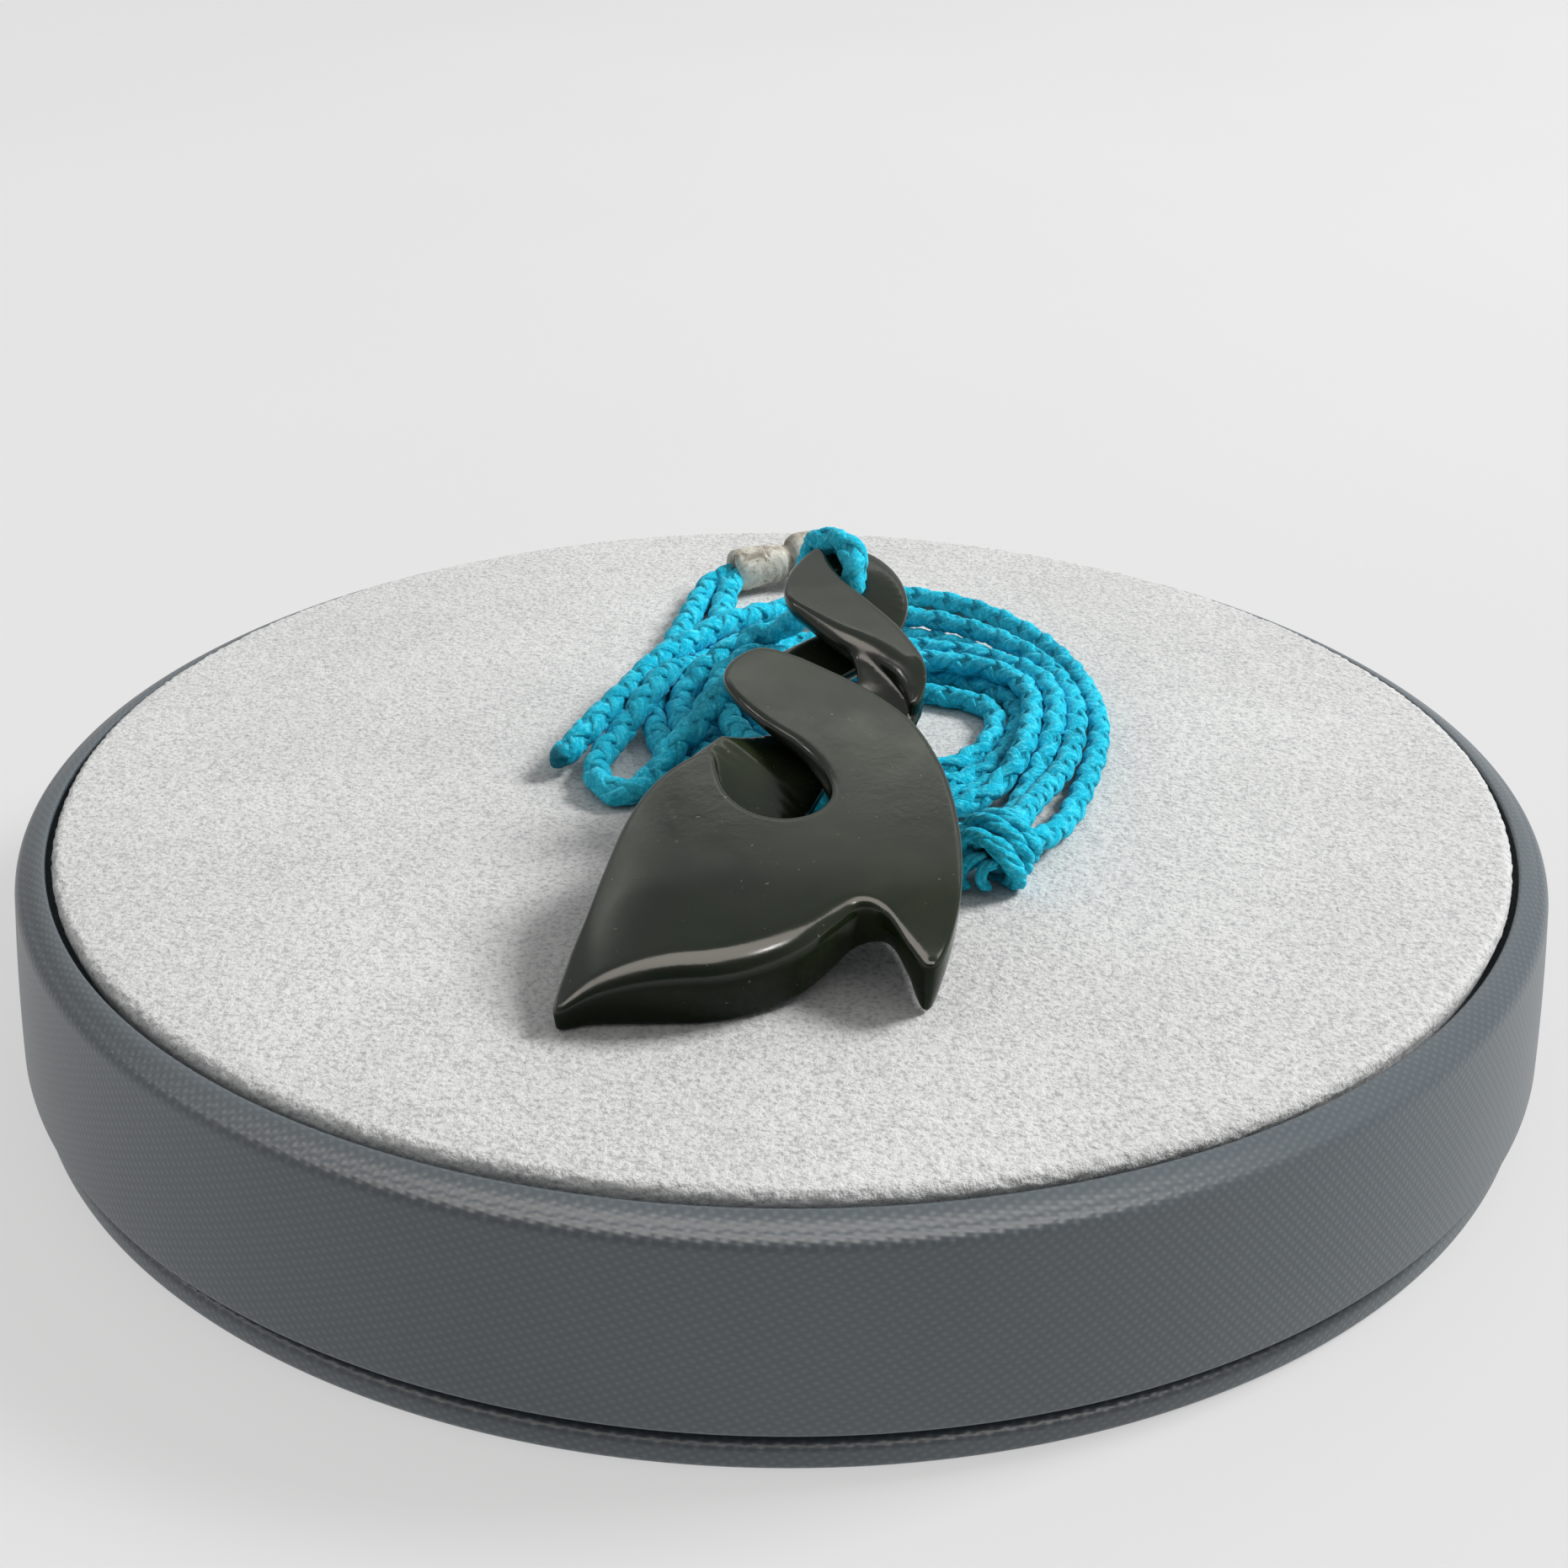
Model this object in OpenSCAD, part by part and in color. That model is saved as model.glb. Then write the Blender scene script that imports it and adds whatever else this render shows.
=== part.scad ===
// Jade twist pendant on its cord, laid on a round padded display stand.
// Millimetres, +Z up, origin at the middle of the stand's underside.
// The tail of the pendant points to -Y.

/* [Stand] */
// Diameter of the stand across its side wall
stand_d = 152; // [150:1:158]
// Height of the suede top above the table
stand_h = 23; // [21:0.5:26]
// Diameter of the suede pad
pad_d = 142.8; // [140:0.2:143.4]
// Thickness of the suede pad
pad_t = 3; // [2.5:0.1:4]
// Height of the flange under the side wall
flange_h = 2.6; // [2.4:0.1:3.4]

/* [Pendant] */
// Thickness of the stone at the middle of the tail
stone_t = 7.3; // [7:0.1:7.6]
// Angle at which the pendant leans on the coil
lean = 12; // [12:0.1:12.5]

/* [Cord] */
// Diameter of the braided cord
cord_d = 2.3; // [1.8:0.1:2.3]

/* [Toggle] */
// Length of the bone toggle
toggle_len = 12; // [10:0.5:14]
// Diameter of the bone toggle at its thick end
toggle_d = 6.4; // [5.6:0.1:6.6]

/* [Hidden] */
slate = [0.32, 0.35, 0.37];
suede_grey = [0.78, 0.78, 0.78];
jade_green = [0.2, 0.28, 0.2];
turquoise = [0.0, 0.6, 0.75];
bone = [0.8, 0.77, 0.7];
// Clearance between pieces that lie on each other
rest_gap = 0.05;

function clamp01(x) = max(0, min(1, x));
function ease(x) = let (t = clamp01(x)) t * t * (3 - 2 * t);
function curve(a, b, c, d, t) =
    0.5 * (2 * b + (c - a) * t + (2 * a - 5 * b + 4 * c - d) * t * t + (3 * b - a - 3 * c + d) * t * t * t);
function open_curve(rows, steps) = let (n = len(rows) - 1) [
    for (i = [0 : n - 1], k = [0 : steps - 1])
        curve(rows[max(i - 1, 0)], rows[i], rows[i + 1], rows[min(i + 2, n)], k / steps),
    rows[n]
];
function closed_curve(rows, steps) = let (n = len(rows)) [
    for (i = [0 : n - 1], k = [0 : steps - 1])
        curve(rows[(i + n - 1) % n], rows[i], rows[(i + 1) % n], rows[(i + 2) % n], k / steps)
];

// The flange stands on the table, with a shadow gap of neck_h under the side wall.
flange_r = stand_d / 2 - 0.9;
neck_r = flange_r - 1.6;
neck_h = 1.5;
wall_z = flange_h + neck_h;
module stand_flange() color(slate) rotate_extrude($fn = 96) polygon([
    [0, 0], [flange_r - 1.2, 0], [flange_r - 0.3, 0.4], [flange_r, 1.2], [flange_r, flange_h - 1],
    [flange_r - 0.4, flange_h - 0.2], [flange_r - 1.2, flange_h], [neck_r, flange_h], [neck_r, wall_z],
    [0, wall_z]
]);

// The padded side wall leans in a little, bends over and slopes up to the seat of the pad.
wall_r = stand_d / 2;
bend_r = 0.9;
bend_x = wall_r - 1.2 - bend_r;
bend_z = stand_h - 1.4 - bend_r;
seat_z = stand_h - pad_t;
seat_r = pad_d / 2 + 0.6;
module stand_rim() color(slate) rotate_extrude($fn = 96) polygon(concat(
    [[0, wall_z], [wall_r - 0.5, wall_z], [wall_r, wall_z + 0.5]],
    [for (a = [0 : 17.5 : 70]) [bend_x + bend_r * cos(a), bend_z + bend_r * sin(a)]],
    [[seat_r, stand_h - 0.7], [seat_r, seat_z], [0, seat_z]]
));

// The suede pad has a soft rounded edge and stands proud of the wall.
edge_r = 1;
module suede_pad() color(suede_grey) rotate_extrude($fn = 96) polygon(concat(
    [[0, seat_z], [pad_d / 2 - 0.5, seat_z], [pad_d / 2 - 0.15, seat_z + 1.2]],
    [for (a = [0 : 15 : 90]) [pad_d / 2 - edge_r + edge_r * cos(a), stand_h - edge_r + edge_r * sin(a)]],
    [[0, stand_h]]
));

// Outline of the whale tail and the strand that flows from it, seen square on.
// across, along, undercut of the underside
OUTLINE = [
    [-15.8, 0.0, 0.4], [-12.2, 0.1, 0.6], [-6.5, -0.2, 0.7], [-2.5, -0.3, 0.7], [1.4, 0.4, 0.7],
    [5.2, 1.9, 0.7], [8.5, 4.4, 0.8], [10.3, 5.7, 0.9], [12.0, 4.8, 0.9], [13.6, 1.7, 0.6],
    [15.0, -0.5, 0.4], [16.1, -0.3, 0.4], [17.4, 2.0, 0.6], [18.7, 6.0, 1.2], [19.5, 10.6, 1.6],
    [19.9, 15.1, 1.9], [19.9, 19.9, 2.2], [19.4, 24.6, 2.6], [17.7, 30.6, 2.8], [14.5, 35.4, 2.8],
    [10.6, 39.3, 2.8], [7.4, 42.0, 2.8], [4.6, 43.2, 2.8], [2.1, 41.7, 2.8], [0.8, 38.9, 2.8],
    [1.5, 35.5, 3.2], [4.1, 31.1, 3.2], [7.2, 27.2, 2.8], [8.9, 23.6, 2.2], [9.2, 20.4, 1.8],
    [7.6, 17.9, 1.6], [4.8, 17.1, 1.6], [2.0, 18.2, 1.6], [0.1, 20.8, 1.6], [-0.6, 24.0, 1.2],
    [-1.0, 26.9, 0.6], [-3.4, 25.7, 1.2], [-6.6, 22.4, 1.8], [-9.0, 18.2, 1.8], [-10.9, 13.0, 1.8],
    [-12.5, 8.2, 1.4], [-14.2, 3.6, 0.8]
];
// Outline of the strand that crosses over at the top, a leaf with two points
LEAF = [
    [18.2, 35.2, 0.8], [19.2, 35.8, 0.8], [20.0, 38.0, 1.0], [20.0, 40.6, 1.4], [19.2, 43.6, 1.8],
    [18.0, 46.8, 1.8], [16.2, 50.2, 1.8], [14.8, 52.7, 1.6], [13.6, 55.0, 1.4], [12.8, 57.8, 1.0],
    [12.4, 60.4, 0.8], [11.6, 61.0, 1.0], [10.2, 59.4, 1.4], [8.6, 56.4, 1.6], [7.7, 53.4, 1.8],
    [8.0, 51.0, 1.8], [9.3, 48.8, 1.8], [11.6, 45.4, 1.8], [13.4, 43.4, 1.8], [15.2, 41.6, 1.8],
    [16.9, 39.4, 1.6], [17.9, 37.2, 1.2]
];
// Heights of the stone's face and back over its underside plane
function face_w(p) = stone_t
    - 0.5 * pow(clamp01((11 - p.y) / 11), 2)
    - 4 * pow(clamp01((-p.x - 3.4) / 12), 2)
    - 2.6 * pow(clamp01((8 - p.y) / 8), 2) * clamp01((p.x - 9) / 5)
    - 1.2 * ease((p.y - 22) / 5) * ease((3 - p.x) / 3) * clamp01((34 - p.y) / 4);
function back_w(p) =
    4.4 * ease((p.y - 17) / 16)
    + 2.7 * exp(-pow((p.x - 12.8) / 2.6, 2) / 2 - pow((p.y - 4.2) / 3.4, 2) / 2) * clamp01(p.y / 1.5);
function leaf_face_w(p) = stone_t - 1.4 * ease((41 - p.y) / 7) - 1.2 * ease((p.y - 53) / 8);
function leaf_back_w(p) = leaf_face_w(p) - 3.2;

// Rings of a plate, from the underside to the face.
// share of the undercut, share of the rise, drop from the face, fixed inset
RINGS = [
    [1, 0, 0, 0], [0.5, 0.2, 0, 0], [0.18, 0.45, 0, 0], [0, 0.8, 0, 0], [0, 1, 0.3, 0.12], [0, 1, 0, 0.55]
];
function ring_point(row, tangent, ring, lo_face, hi_face) = let (
    n = [-tangent.y, tangent.x] / norm([tangent.x, tangent.y]),
    p = [row.x, row.y] + n * (ring[0] * row.z + ring[3] * min(1, row.z)),
    lo = lo_face(p), hi = hi_face(p)
) [p.x, p.y, lo + (hi - lo) * ring[1] - ring[2]];

module plate(outline, lo_face, hi_face) {
    rows = closed_curve(outline, 3);
    n = len(rows);
    m = len(RINGS);
    polyhedron(
        points = [for (r = RINGS, i = [0 : n - 1])
            ring_point(rows[i], rows[(i + 1) % n] - rows[(i + n - 1) % n], r, lo_face, hi_face)],
        faces = concat(
            [[for (i = [0 : n - 1]) i]],
            [[for (i = [n - 1 : -1 : 0]) (m - 1) * n + i]],
            [for (k = [0 : m - 2], i = [0 : n - 1])
                [k * n + i, (k + 1) * n + i, (k + 1) * n + (i + 1) % n, k * n + (i + 1) % n]]
        ),
        convexity = 8
    );
}

// The strand that dips under, climbs, crosses over, closes the top ring and dips again.
// across, along, height of its rim, half width, depth below the rim
STRAND = [
    [-2.4, 18.4, 3.3, 5.6, 2.4], [0.4, 22.4, 3.4, 5.6, 2.4], [3.9, 27.0, 3.2, 5.0, 2.3],
    [7.8, 31.3, 2.8, 4.2, 2.2], [12.4, 34.4, 2.8, 3.8, 2.2], [15.9, 37.2, 3.4, 3.6, 2.2],
    [16.8, 40.4, 4.4, 3.1, 2.0], [16.0, 44.0, 5.2, 2.6, 1.6], [14.4, 47.2, 5.4, 2.7, 1.4],
    [12.2, 50.8, 5.4, 2.8, 1.4], [10.5, 54.6, 5.2, 2.4, 1.6], [10.8, 58.4, 4.8, 2.0, 1.8],
    [13.0, 61.0, 4.6, 1.9, 1.9], [16.1, 61.0, 4.6, 1.8, 1.9], [18.0, 57.8, 4.4, 1.9, 1.9],
    [17.8, 53.8, 3.8, 2.4, 1.9], [14.9, 49.8, 2.8, 3.2, 2.0], [10.6, 46.4, 2.6, 3.4, 2.0],
    [7.0, 43.2, 3.2, 3.1, 1.8], [5.4, 40.2, 4.2, 3.0, 1.2]
];
crown = 1.1;
module pebble(r, keel) {
    profile = concat(
        [for (a = [-90 : 22.5 : 0]) [r * cos(a), keel * sin(a)]],
        [for (a = [30 : 30 : 90]) [r * pow(cos(a), 0.35), crown * sin(a)]]
    );
    rotate_extrude($fn = 24) polygon(profile);
}
module strand() {
    rows = open_curve(STRAND, 3);
    for (i = [0 : len(rows) - 2]) hull() {
        translate([rows[i][0], rows[i][1], rows[i][2]]) pebble(rows[i][3], rows[i][4]);
        translate([rows[i + 1][0], rows[i + 1][1], rows[i + 1][2]]) pebble(rows[i + 1][3], rows[i + 1][4]);
    }
}
// Where the base line of the tail meets the suede, and its turn about the upright
pend_at = [-3.3, -47.2];
pend_turn = 5;
tip_gap = 0.2;
module twist_pendant() color(jade_green)
    translate([pend_at.x, pend_at.y, stand_h + tip_gap]) rotate([0, 0, pend_turn]) rotate([lean, 0, 0]) {
        plate(OUTLINE, function (p) back_w(p), function (p) face_w(p));
        plate(LEAF, function (p) leaf_back_w(p), function (p) leaf_face_w(p));
        strand();
    }

// The toggle lies on its side, thicker at one end, with a worn waist.
// share of the length, share of the thick end's radius
TOGGLE = [[0, 0.72], [0.03, 0.8], [0.12, 0.83], [0.32, 0.78], [0.5, 0.86], [0.72, 1], [0.93, 0.97], [1, 0.86]];
toggle_at = [-6.2, 49.2];
toggle_turn = 25;
toggle_drop = 2;
module bone_toggle() color(bone)
    translate([toggle_at.x, toggle_at.y, stand_h + rest_gap + 0.89 * toggle_d / 2])
        rotate([0, 90 - toggle_drop, toggle_turn])
            rotate_extrude($fn = 32) polygon(concat(
                [[0, 0]], [for (t = TOGGLE) [t[1] * toggle_d / 2, t[0] * toggle_len]], [[0, toggle_len]]));

// Knot of doubled wraps, beside the stone
knot_r = 3.55;
knot_at = [19.9, -23];
module ball_knot() color(turquoise)
    translate([knot_at.x, knot_at.y, stand_h + rest_gap + knot_r]) sphere(r = knot_r, $fn = 32);

// Heap of the coiled turns: three layers of cord, each an oval band round the open middle.
// The quarters of an oval meet at coil_mid and reach left, near, right and far.
coil_mid = [12, 12];
layer_h = 2.4;
HEAP = [[-13.9, -17.2, 34.4, 43], [-11.5, -15.4, 27, 36], [-9, -13.4, 15, 30]];
INNER = [-3, -0.8, 22.2, 15.4];
function quarter(reach, a) = [
    coil_mid.x + (cos(a) > 0 ? reach[2] - coil_mid.x : coil_mid.x - reach[0]) * cos(a),
    coil_mid.y + (sin(a) > 0 ? reach[3] - coil_mid.y : coil_mid.y - reach[1]) * sin(a)
];
module oval(reach) polygon([for (a = [0 : 9 : 351]) quarter(reach, a)]);
module cord_coil() color(turquoise) difference() {
    for (i = [0 : 2]) translate([0, 0, stand_h + rest_gap]) linear_extrude((i + 1) * layer_h) oval(HEAP[i]);
    translate([0, 0, stand_h - 1]) linear_extrude(4 * layer_h) oval(INNER);
}

// Free stretches of the cord, each a tube along its own points.
// x, y, height of the cord's middle above the suede
ARCH = [
    [8, 17.4, 7.6], [7.9, 17.1, 8.8], [7.4, 15, 10.4], [6.8, 11.8, 11.8], [6.4, 8.8, 13.6], [6.6, 7.9, 16.2],
    [7.1, 8.8, 18.7], [6.6, 10.6, 20], [5.4, 12.4, 20.3], [3.7, 14.8, 19.5], [2.7, 16.1, 17.4],
    [2.6, 17.1, 14.6], [2.4, 17.9, 11.8], [1.6, 18.8, 9.4], [1.2, 19.2, 7.6]
];
LEAD = [
    [-7.4, 50.1, 3.4], [-9, 47.8, 2.3], [-9.6, 44.4, 1.4], [-11, 37, 1.2], [-12.2, 30.6, 1.2],
    [-12.9, 27.4, 1.2], [-12.8, 25.4, 1.2]
];
RETURN = [
    [-6.6, 47.5, 2.5], [-6.8, 45.6, 1.6], [-7, 43, 1.2], [-7.6, 38, 1.2], [-7.8, 35.8, 1.2], [-6.7, 34.1, 1.2]
];
TAIL = [[-15.1, 13.9, 3.6], [-17.3, 9, 3.6], [-19.3, 4.2, 3.4], [-21.2, 0.6, 2.6], [-22.8, -2.4, 2]];
LOOP = [
    [-15.3, 11.6, 1.3], [-16.4, 9, 1.2], [-18.4, 4.6, 1.2], [-19, -1.6, 1.2], [-18, -7, 1.2],
    [-15.9, -9.6, 1.2], [-14, -8.4, 1.2], [-12.6, -5.4, 1.2], [-11.5, -2.7, 1.2]
];
TO_KNOT = [[27.4, -11.4, 1.6], [25.6, -15.2, 2.9], [23.8, -18.4, 3.9], [22.4, -20.1, 4.1]];
FROM_KNOT = [[16.2, -24, 2.5], [15, -24.2, 2.1], [13.2, -22.8, 1.4], [11.8, -20.4, 1.2], [11, -18, 1.2]];
tube_sides = 8;
function along(path, i) = path[min(i + 1, len(path) - 1)] - path[max(i - 1, 0)];
module tube(path) {
    n = len(path);
    rings = [for (i = [0 : n - 1]) let (
        w = along(path, i) / norm(along(path, i)),
        u = cross(w, abs(w.z) > 0.8 ? [0, 1, 0] : [0, 0, 1]),
        v = cross(u / norm(u), w)
    ) for (k = [0 : tube_sides - 1]) let (a = 360 * k / tube_sides)
        path[i] + [0, 0, stand_h] + cord_d / 2 * (cos(a) * u / norm(u) + sin(a) * v)];
    color(turquoise) polyhedron(
        points = rings,
        faces = concat(
            [[for (k = [tube_sides - 1 : -1 : 0]) k]],
            [[for (k = [0 : tube_sides - 1]) (n - 1) * tube_sides + k]],
            [for (i = [0 : n - 2], k = [0 : tube_sides - 1]) let (j = (k + 1) % tube_sides)
                [i * tube_sides + k, i * tube_sides + j, (i + 1) * tube_sides + j, (i + 1) * tube_sides + k]]
        ),
        convexity = 4
    );
}
module cord_arch() tube(ARCH);
module cord_toggle_lead() tube(LEAD);
module cord_toggle_return() tube(RETURN);
module cord_tail() tube(TAIL);
module cord_loop() tube(LOOP);
module cord_to_knot() tube(TO_KNOT);
module cord_from_knot() tube(FROM_KNOT);

stand_flange();
stand_rim();
suede_pad();
twist_pendant();
bone_toggle();
ball_knot();
cord_coil();
cord_arch();
cord_toggle_lead();
cord_toggle_return();
cord_tail();
cord_loop();
cord_to_knot();
cord_from_knot();
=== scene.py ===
"""Jade twist pendant on its coiled braided cord, on a round suede-topped display stand."""
import math

import bpy
import numpy as np
from mathutils import Matrix, Vector, noise


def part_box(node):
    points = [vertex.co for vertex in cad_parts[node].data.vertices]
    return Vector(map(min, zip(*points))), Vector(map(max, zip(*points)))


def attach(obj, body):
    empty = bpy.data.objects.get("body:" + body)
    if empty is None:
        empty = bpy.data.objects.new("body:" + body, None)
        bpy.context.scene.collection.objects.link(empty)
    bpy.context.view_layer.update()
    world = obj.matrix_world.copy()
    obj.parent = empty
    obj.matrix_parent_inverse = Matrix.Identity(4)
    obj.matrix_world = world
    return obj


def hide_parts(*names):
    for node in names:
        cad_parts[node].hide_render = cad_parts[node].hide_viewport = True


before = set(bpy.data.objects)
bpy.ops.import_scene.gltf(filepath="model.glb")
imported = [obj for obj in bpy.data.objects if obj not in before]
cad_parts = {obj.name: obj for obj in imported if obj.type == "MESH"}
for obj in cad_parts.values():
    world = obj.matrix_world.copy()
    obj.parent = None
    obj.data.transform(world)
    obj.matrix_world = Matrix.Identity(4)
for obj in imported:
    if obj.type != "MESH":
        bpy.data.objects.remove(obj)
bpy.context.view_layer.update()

# Lengths below are millimetres unless a comment says metres, and meshes are scaled by MM when made
MM = 0.001
SUEDE_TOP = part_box("suede_pad")[1][2] / MM
OVER_SUEDE = np.array([0, 0, SUEDE_TOP])
# What rests on the suede stays this far over it
REST_GAP = 0.05


# Small geometry helpers

def curve_point(a, b, c, d, t):
    """Catmull-Rom between b and c."""
    return 0.5 * (2 * b + (c - a) * t + (2 * a - 5 * b + 4 * c - d) * t * t
                  + (3 * b - a - 3 * c + d) * t ** 3)


def open_curve(rows, steps):
    """A smooth line through rows, with so many points from each row to the next."""
    rows = np.asarray(rows, float)
    last = len(rows) - 1
    points = [curve_point(rows[max(i - 1, 0)], rows[i], rows[i + 1], rows[min(i + 2, last)], k / steps)
              for i in range(last) for k in range(steps)]
    return np.array(points + [rows[last]])


def closed_curve(rows, steps):
    """The same, back to its first row."""
    rows = np.asarray(rows, float)
    n = len(rows)
    return np.array([curve_point(rows[i - 1], rows[i], rows[(i + 1) % n], rows[(i + 2) % n], k / steps)
                     for i in range(n) for k in range(steps)])


def spaced(points, step):
    """The same line with its points an even step apart."""
    run = np.concatenate([[0], np.cumsum(np.linalg.norm(np.diff(points, axis=0), axis=1))])
    marks = np.linspace(0, run[-1], max(2, int(round(run[-1] / step)) + 1))
    return np.stack([np.interp(marks, run, points[:, k]) for k in range(points.shape[1])], axis=1)


def mesh_object(name, verts, faces, smooth=True):
    """A mesh in the scene. Its corners are in metres."""
    mesh = bpy.data.meshes.new(name)
    mesh.from_pydata(np.asarray(verts).tolist(), [], [list(map(int, f)) for f in faces])
    mesh.update()
    if smooth:
        mesh.shade_smooth()
    obj = bpy.data.objects.new(name, mesh)
    bpy.context.scene.collection.objects.link(obj)
    return obj


def transported(points):
    """Side and up of a line at each point, without twist."""
    tangent = np.gradient(points, axis=0)
    tangent /= np.linalg.norm(tangent, axis=1)[:, None]
    side = np.cross(tangent[0], [0, 0, 1.0])
    side /= np.linalg.norm(side)
    sides = []
    for t in tangent:
        side = side - t * np.dot(side, t)
        side /= np.linalg.norm(side)
        sides.append(side)
    sides = np.array(sides)
    return sides, np.cross(sides, tangent)


def ring_faces(rings, sides, start=0):
    """The quads of a tube of rings, and its two end caps."""
    faces = []
    for i in range(rings - 1):
        a = start + i * sides
        for k in range(sides):
            j = (k + 1) % sides
            faces.append((a + k, a + j, a + sides + j, a + sides + k))
    faces.append(tuple(start + k for k in range(sides - 1, -1, -1)))
    faces.append(tuple(start + (rings - 1) * sides + k for k in range(sides)))
    return faces


# Camera at the photograph's place

CAMERA_AT = (0, -205.95, 122.5)
CAMERA_LENS = 51.78
CAMERA_SENSOR = 36
# Radians
CAMERA_PAN, CAMERA_PITCH, CAMERA_ROLL = 0.0006, 0.456, -0.0099


def make_camera():
    forward = Vector((math.sin(CAMERA_PAN) * math.cos(CAMERA_PITCH),
                      math.cos(CAMERA_PAN) * math.cos(CAMERA_PITCH), -math.sin(CAMERA_PITCH)))
    right = Vector((math.cos(CAMERA_PAN), -math.sin(CAMERA_PAN), 0))
    up = right.cross(forward)
    turn = Matrix.Rotation(CAMERA_ROLL, 3, forward)
    right, up = turn @ right, turn @ up
    data = bpy.data.cameras.new("camera")
    data.sensor_width = CAMERA_SENSOR
    data.lens = CAMERA_LENS
    data.clip_start = 0.01
    data.clip_end = 30
    cam = bpy.data.objects.new("camera", data)
    cam.matrix_world = Matrix((
        (right.x, up.x, -forward.x, CAMERA_AT[0] * MM), (right.y, up.y, -forward.y, CAMERA_AT[1] * MM),
        (right.z, up.z, -forward.z, CAMERA_AT[2] * MM), (0, 0, 0, 1)))
    bpy.context.scene.collection.objects.link(cam)
    bpy.context.scene.camera = cam


make_camera()


# The stone's form, in its own plane: u across, v along, and w the height over its underside

STONE_T = 7.3
LEAF_T = 3.2
# Across, along, undercut of the side, roundness of the upper edge
OUTLINE = [
    [-15.3, -0.9, 0.2, 0.6], [-12.0, -0.8, 0.3, 1.6], [-6.5, -1.1, 0.4, 2.4], [-2.5, -1.1, 0.4, 2.7],
    [1.4, -0.2, 0.4, 2.7], [5.2, 1.6, 0.5, 2.4], [8.5, 4.3, 0.6, 1.8], [10.3, 5.6, 0.7, 1.2],
    [12.0, 4.8, 0.9, 0.9], [13.6, 1.7, 0.6, 0.8], [15.0, -0.5, 0.4, 0.6], [16.1, -0.3, 0.4, 0.4],
    [17.4, 2.0, 0.6, 0.35], [18.7, 6.0, 1.2, 0.35], [19.5, 10.6, 1.6, 0.35], [19.9, 15.1, 1.9, 0.35],
    [19.9, 19.9, 2.2, 0.35], [19.4, 24.6, 2.6, 0.35], [17.7, 30.6, 2.8, 0.35], [14.5, 35.4, 2.8, 0.35],
    [10.6, 39.3, 2.8, 0.4], [7.4, 42.0, 2.8, 0.5], [4.6, 43.2, 2.8, 0.6], [2.1, 41.7, 2.8, 0.6],
    [0.8, 38.9, 2.8, 0.5], [1.5, 35.5, 3.2, 0.5], [4.1, 31.1, 3.2, 0.6], [7.2, 27.2, 2.8, 0.7],
    [8.9, 23.6, 2.2, 0.7], [9.2, 20.4, 1.8, 0.6], [7.6, 17.9, 1.6, 0.5], [4.8, 17.1, 1.6, 0.45],
    [2.0, 18.2, 1.6, 0.45], [0.1, 20.8, 1.6, 0.45], [-0.6, 24.0, 1.2, 0.4], [-1.0, 26.9, 0.6, 0.35],
    [-3.4, 25.7, 1.2, 0.35], [-6.6, 22.4, 1.8, 0.4], [-9.0, 18.2, 1.8, 0.4], [-10.9, 13.0, 1.8, 0.4],
    [-12.5, 8.2, 1.4, 0.4], [-14.2, 3.6, 0.8, 0.45],
]
LEAF = [
    [18.2, 35.2, 0.8, 0.6], [19.2, 35.8, 0.8, 0.4], [20.0, 38.0, 1.0, 0.35], [20.0, 40.6, 1.4, 0.35],
    [19.2, 43.6, 1.8, 0.35], [18.0, 46.8, 1.8, 0.35], [16.2, 50.2, 1.8, 0.35], [14.8, 52.7, 1.6, 0.35],
    [13.6, 55.0, 1.4, 0.35], [12.8, 57.8, 1.0, 0.35], [12.4, 60.4, 0.8, 0.35], [11.6, 61.0, 1.0, 0.35],
    [10.2, 59.4, 1.4, 0.35], [8.6, 56.4, 1.6, 0.35], [7.7, 53.4, 1.8, 0.4], [8.0, 51.0, 1.8, 0.4],
    [9.3, 48.8, 1.6, 0.8], [11.6, 45.4, 1.2, 1.6], [13.4, 43.4, 1.0, 2.1], [15.2, 41.6, 1.0, 2.2],
    [16.9, 39.4, 1.0, 2.0], [17.9, 37.2, 1.0, 1.3],
]
# Across, along, height of its rim, half width, depth below the rim
STRAND = [
    [-2.4, 18.4, 3.3, 5.6, 2.4], [0.4, 22.4, 3.4, 5.6, 2.4], [3.9, 27.0, 3.2, 5.0, 2.3],
    [7.8, 31.3, 2.8, 4.2, 2.2], [12.4, 34.4, 2.8, 3.8, 2.2], [15.9, 37.2, 3.4, 3.6, 2.2],
    [16.8, 40.4, 4.4, 3.1, 2.0], [16.0, 44.0, 5.2, 2.6, 1.6], [14.4, 47.2, 5.4, 2.7, 1.4],
    [12.2, 50.8, 5.4, 2.8, 1.4], [10.5, 54.6, 5.2, 2.4, 1.6], [10.8, 58.4, 4.8, 2.0, 1.8],
    [13.0, 61.0, 4.6, 1.9, 1.9], [15.9, 60.9, 4.6, 2.0, 1.9], [17.7, 57.6, 4.4, 2.3, 1.9],
    [17.4, 53.6, 3.8, 2.9, 1.9], [14.9, 49.8, 2.8, 3.2, 2.0], [10.6, 46.4, 2.6, 3.4, 2.0],
    [7.0, 43.2, 3.2, 3.1, 1.8], [5.4, 40.2, 4.2, 3.0, 1.2],
]
# The strand's rows as two lengths with a shared row, so that both count where it passes over itself
STRAND_PARTS = [(0, 12), (11, 20)]
# Points from each row to the next
ROW_STEPS = 5
# A strand's height over its rim, and how square it is above the rim and below
CROWN = 1.1
CROWN_POWER, HOLLOW_POWER = 3.2, 2.0
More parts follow.
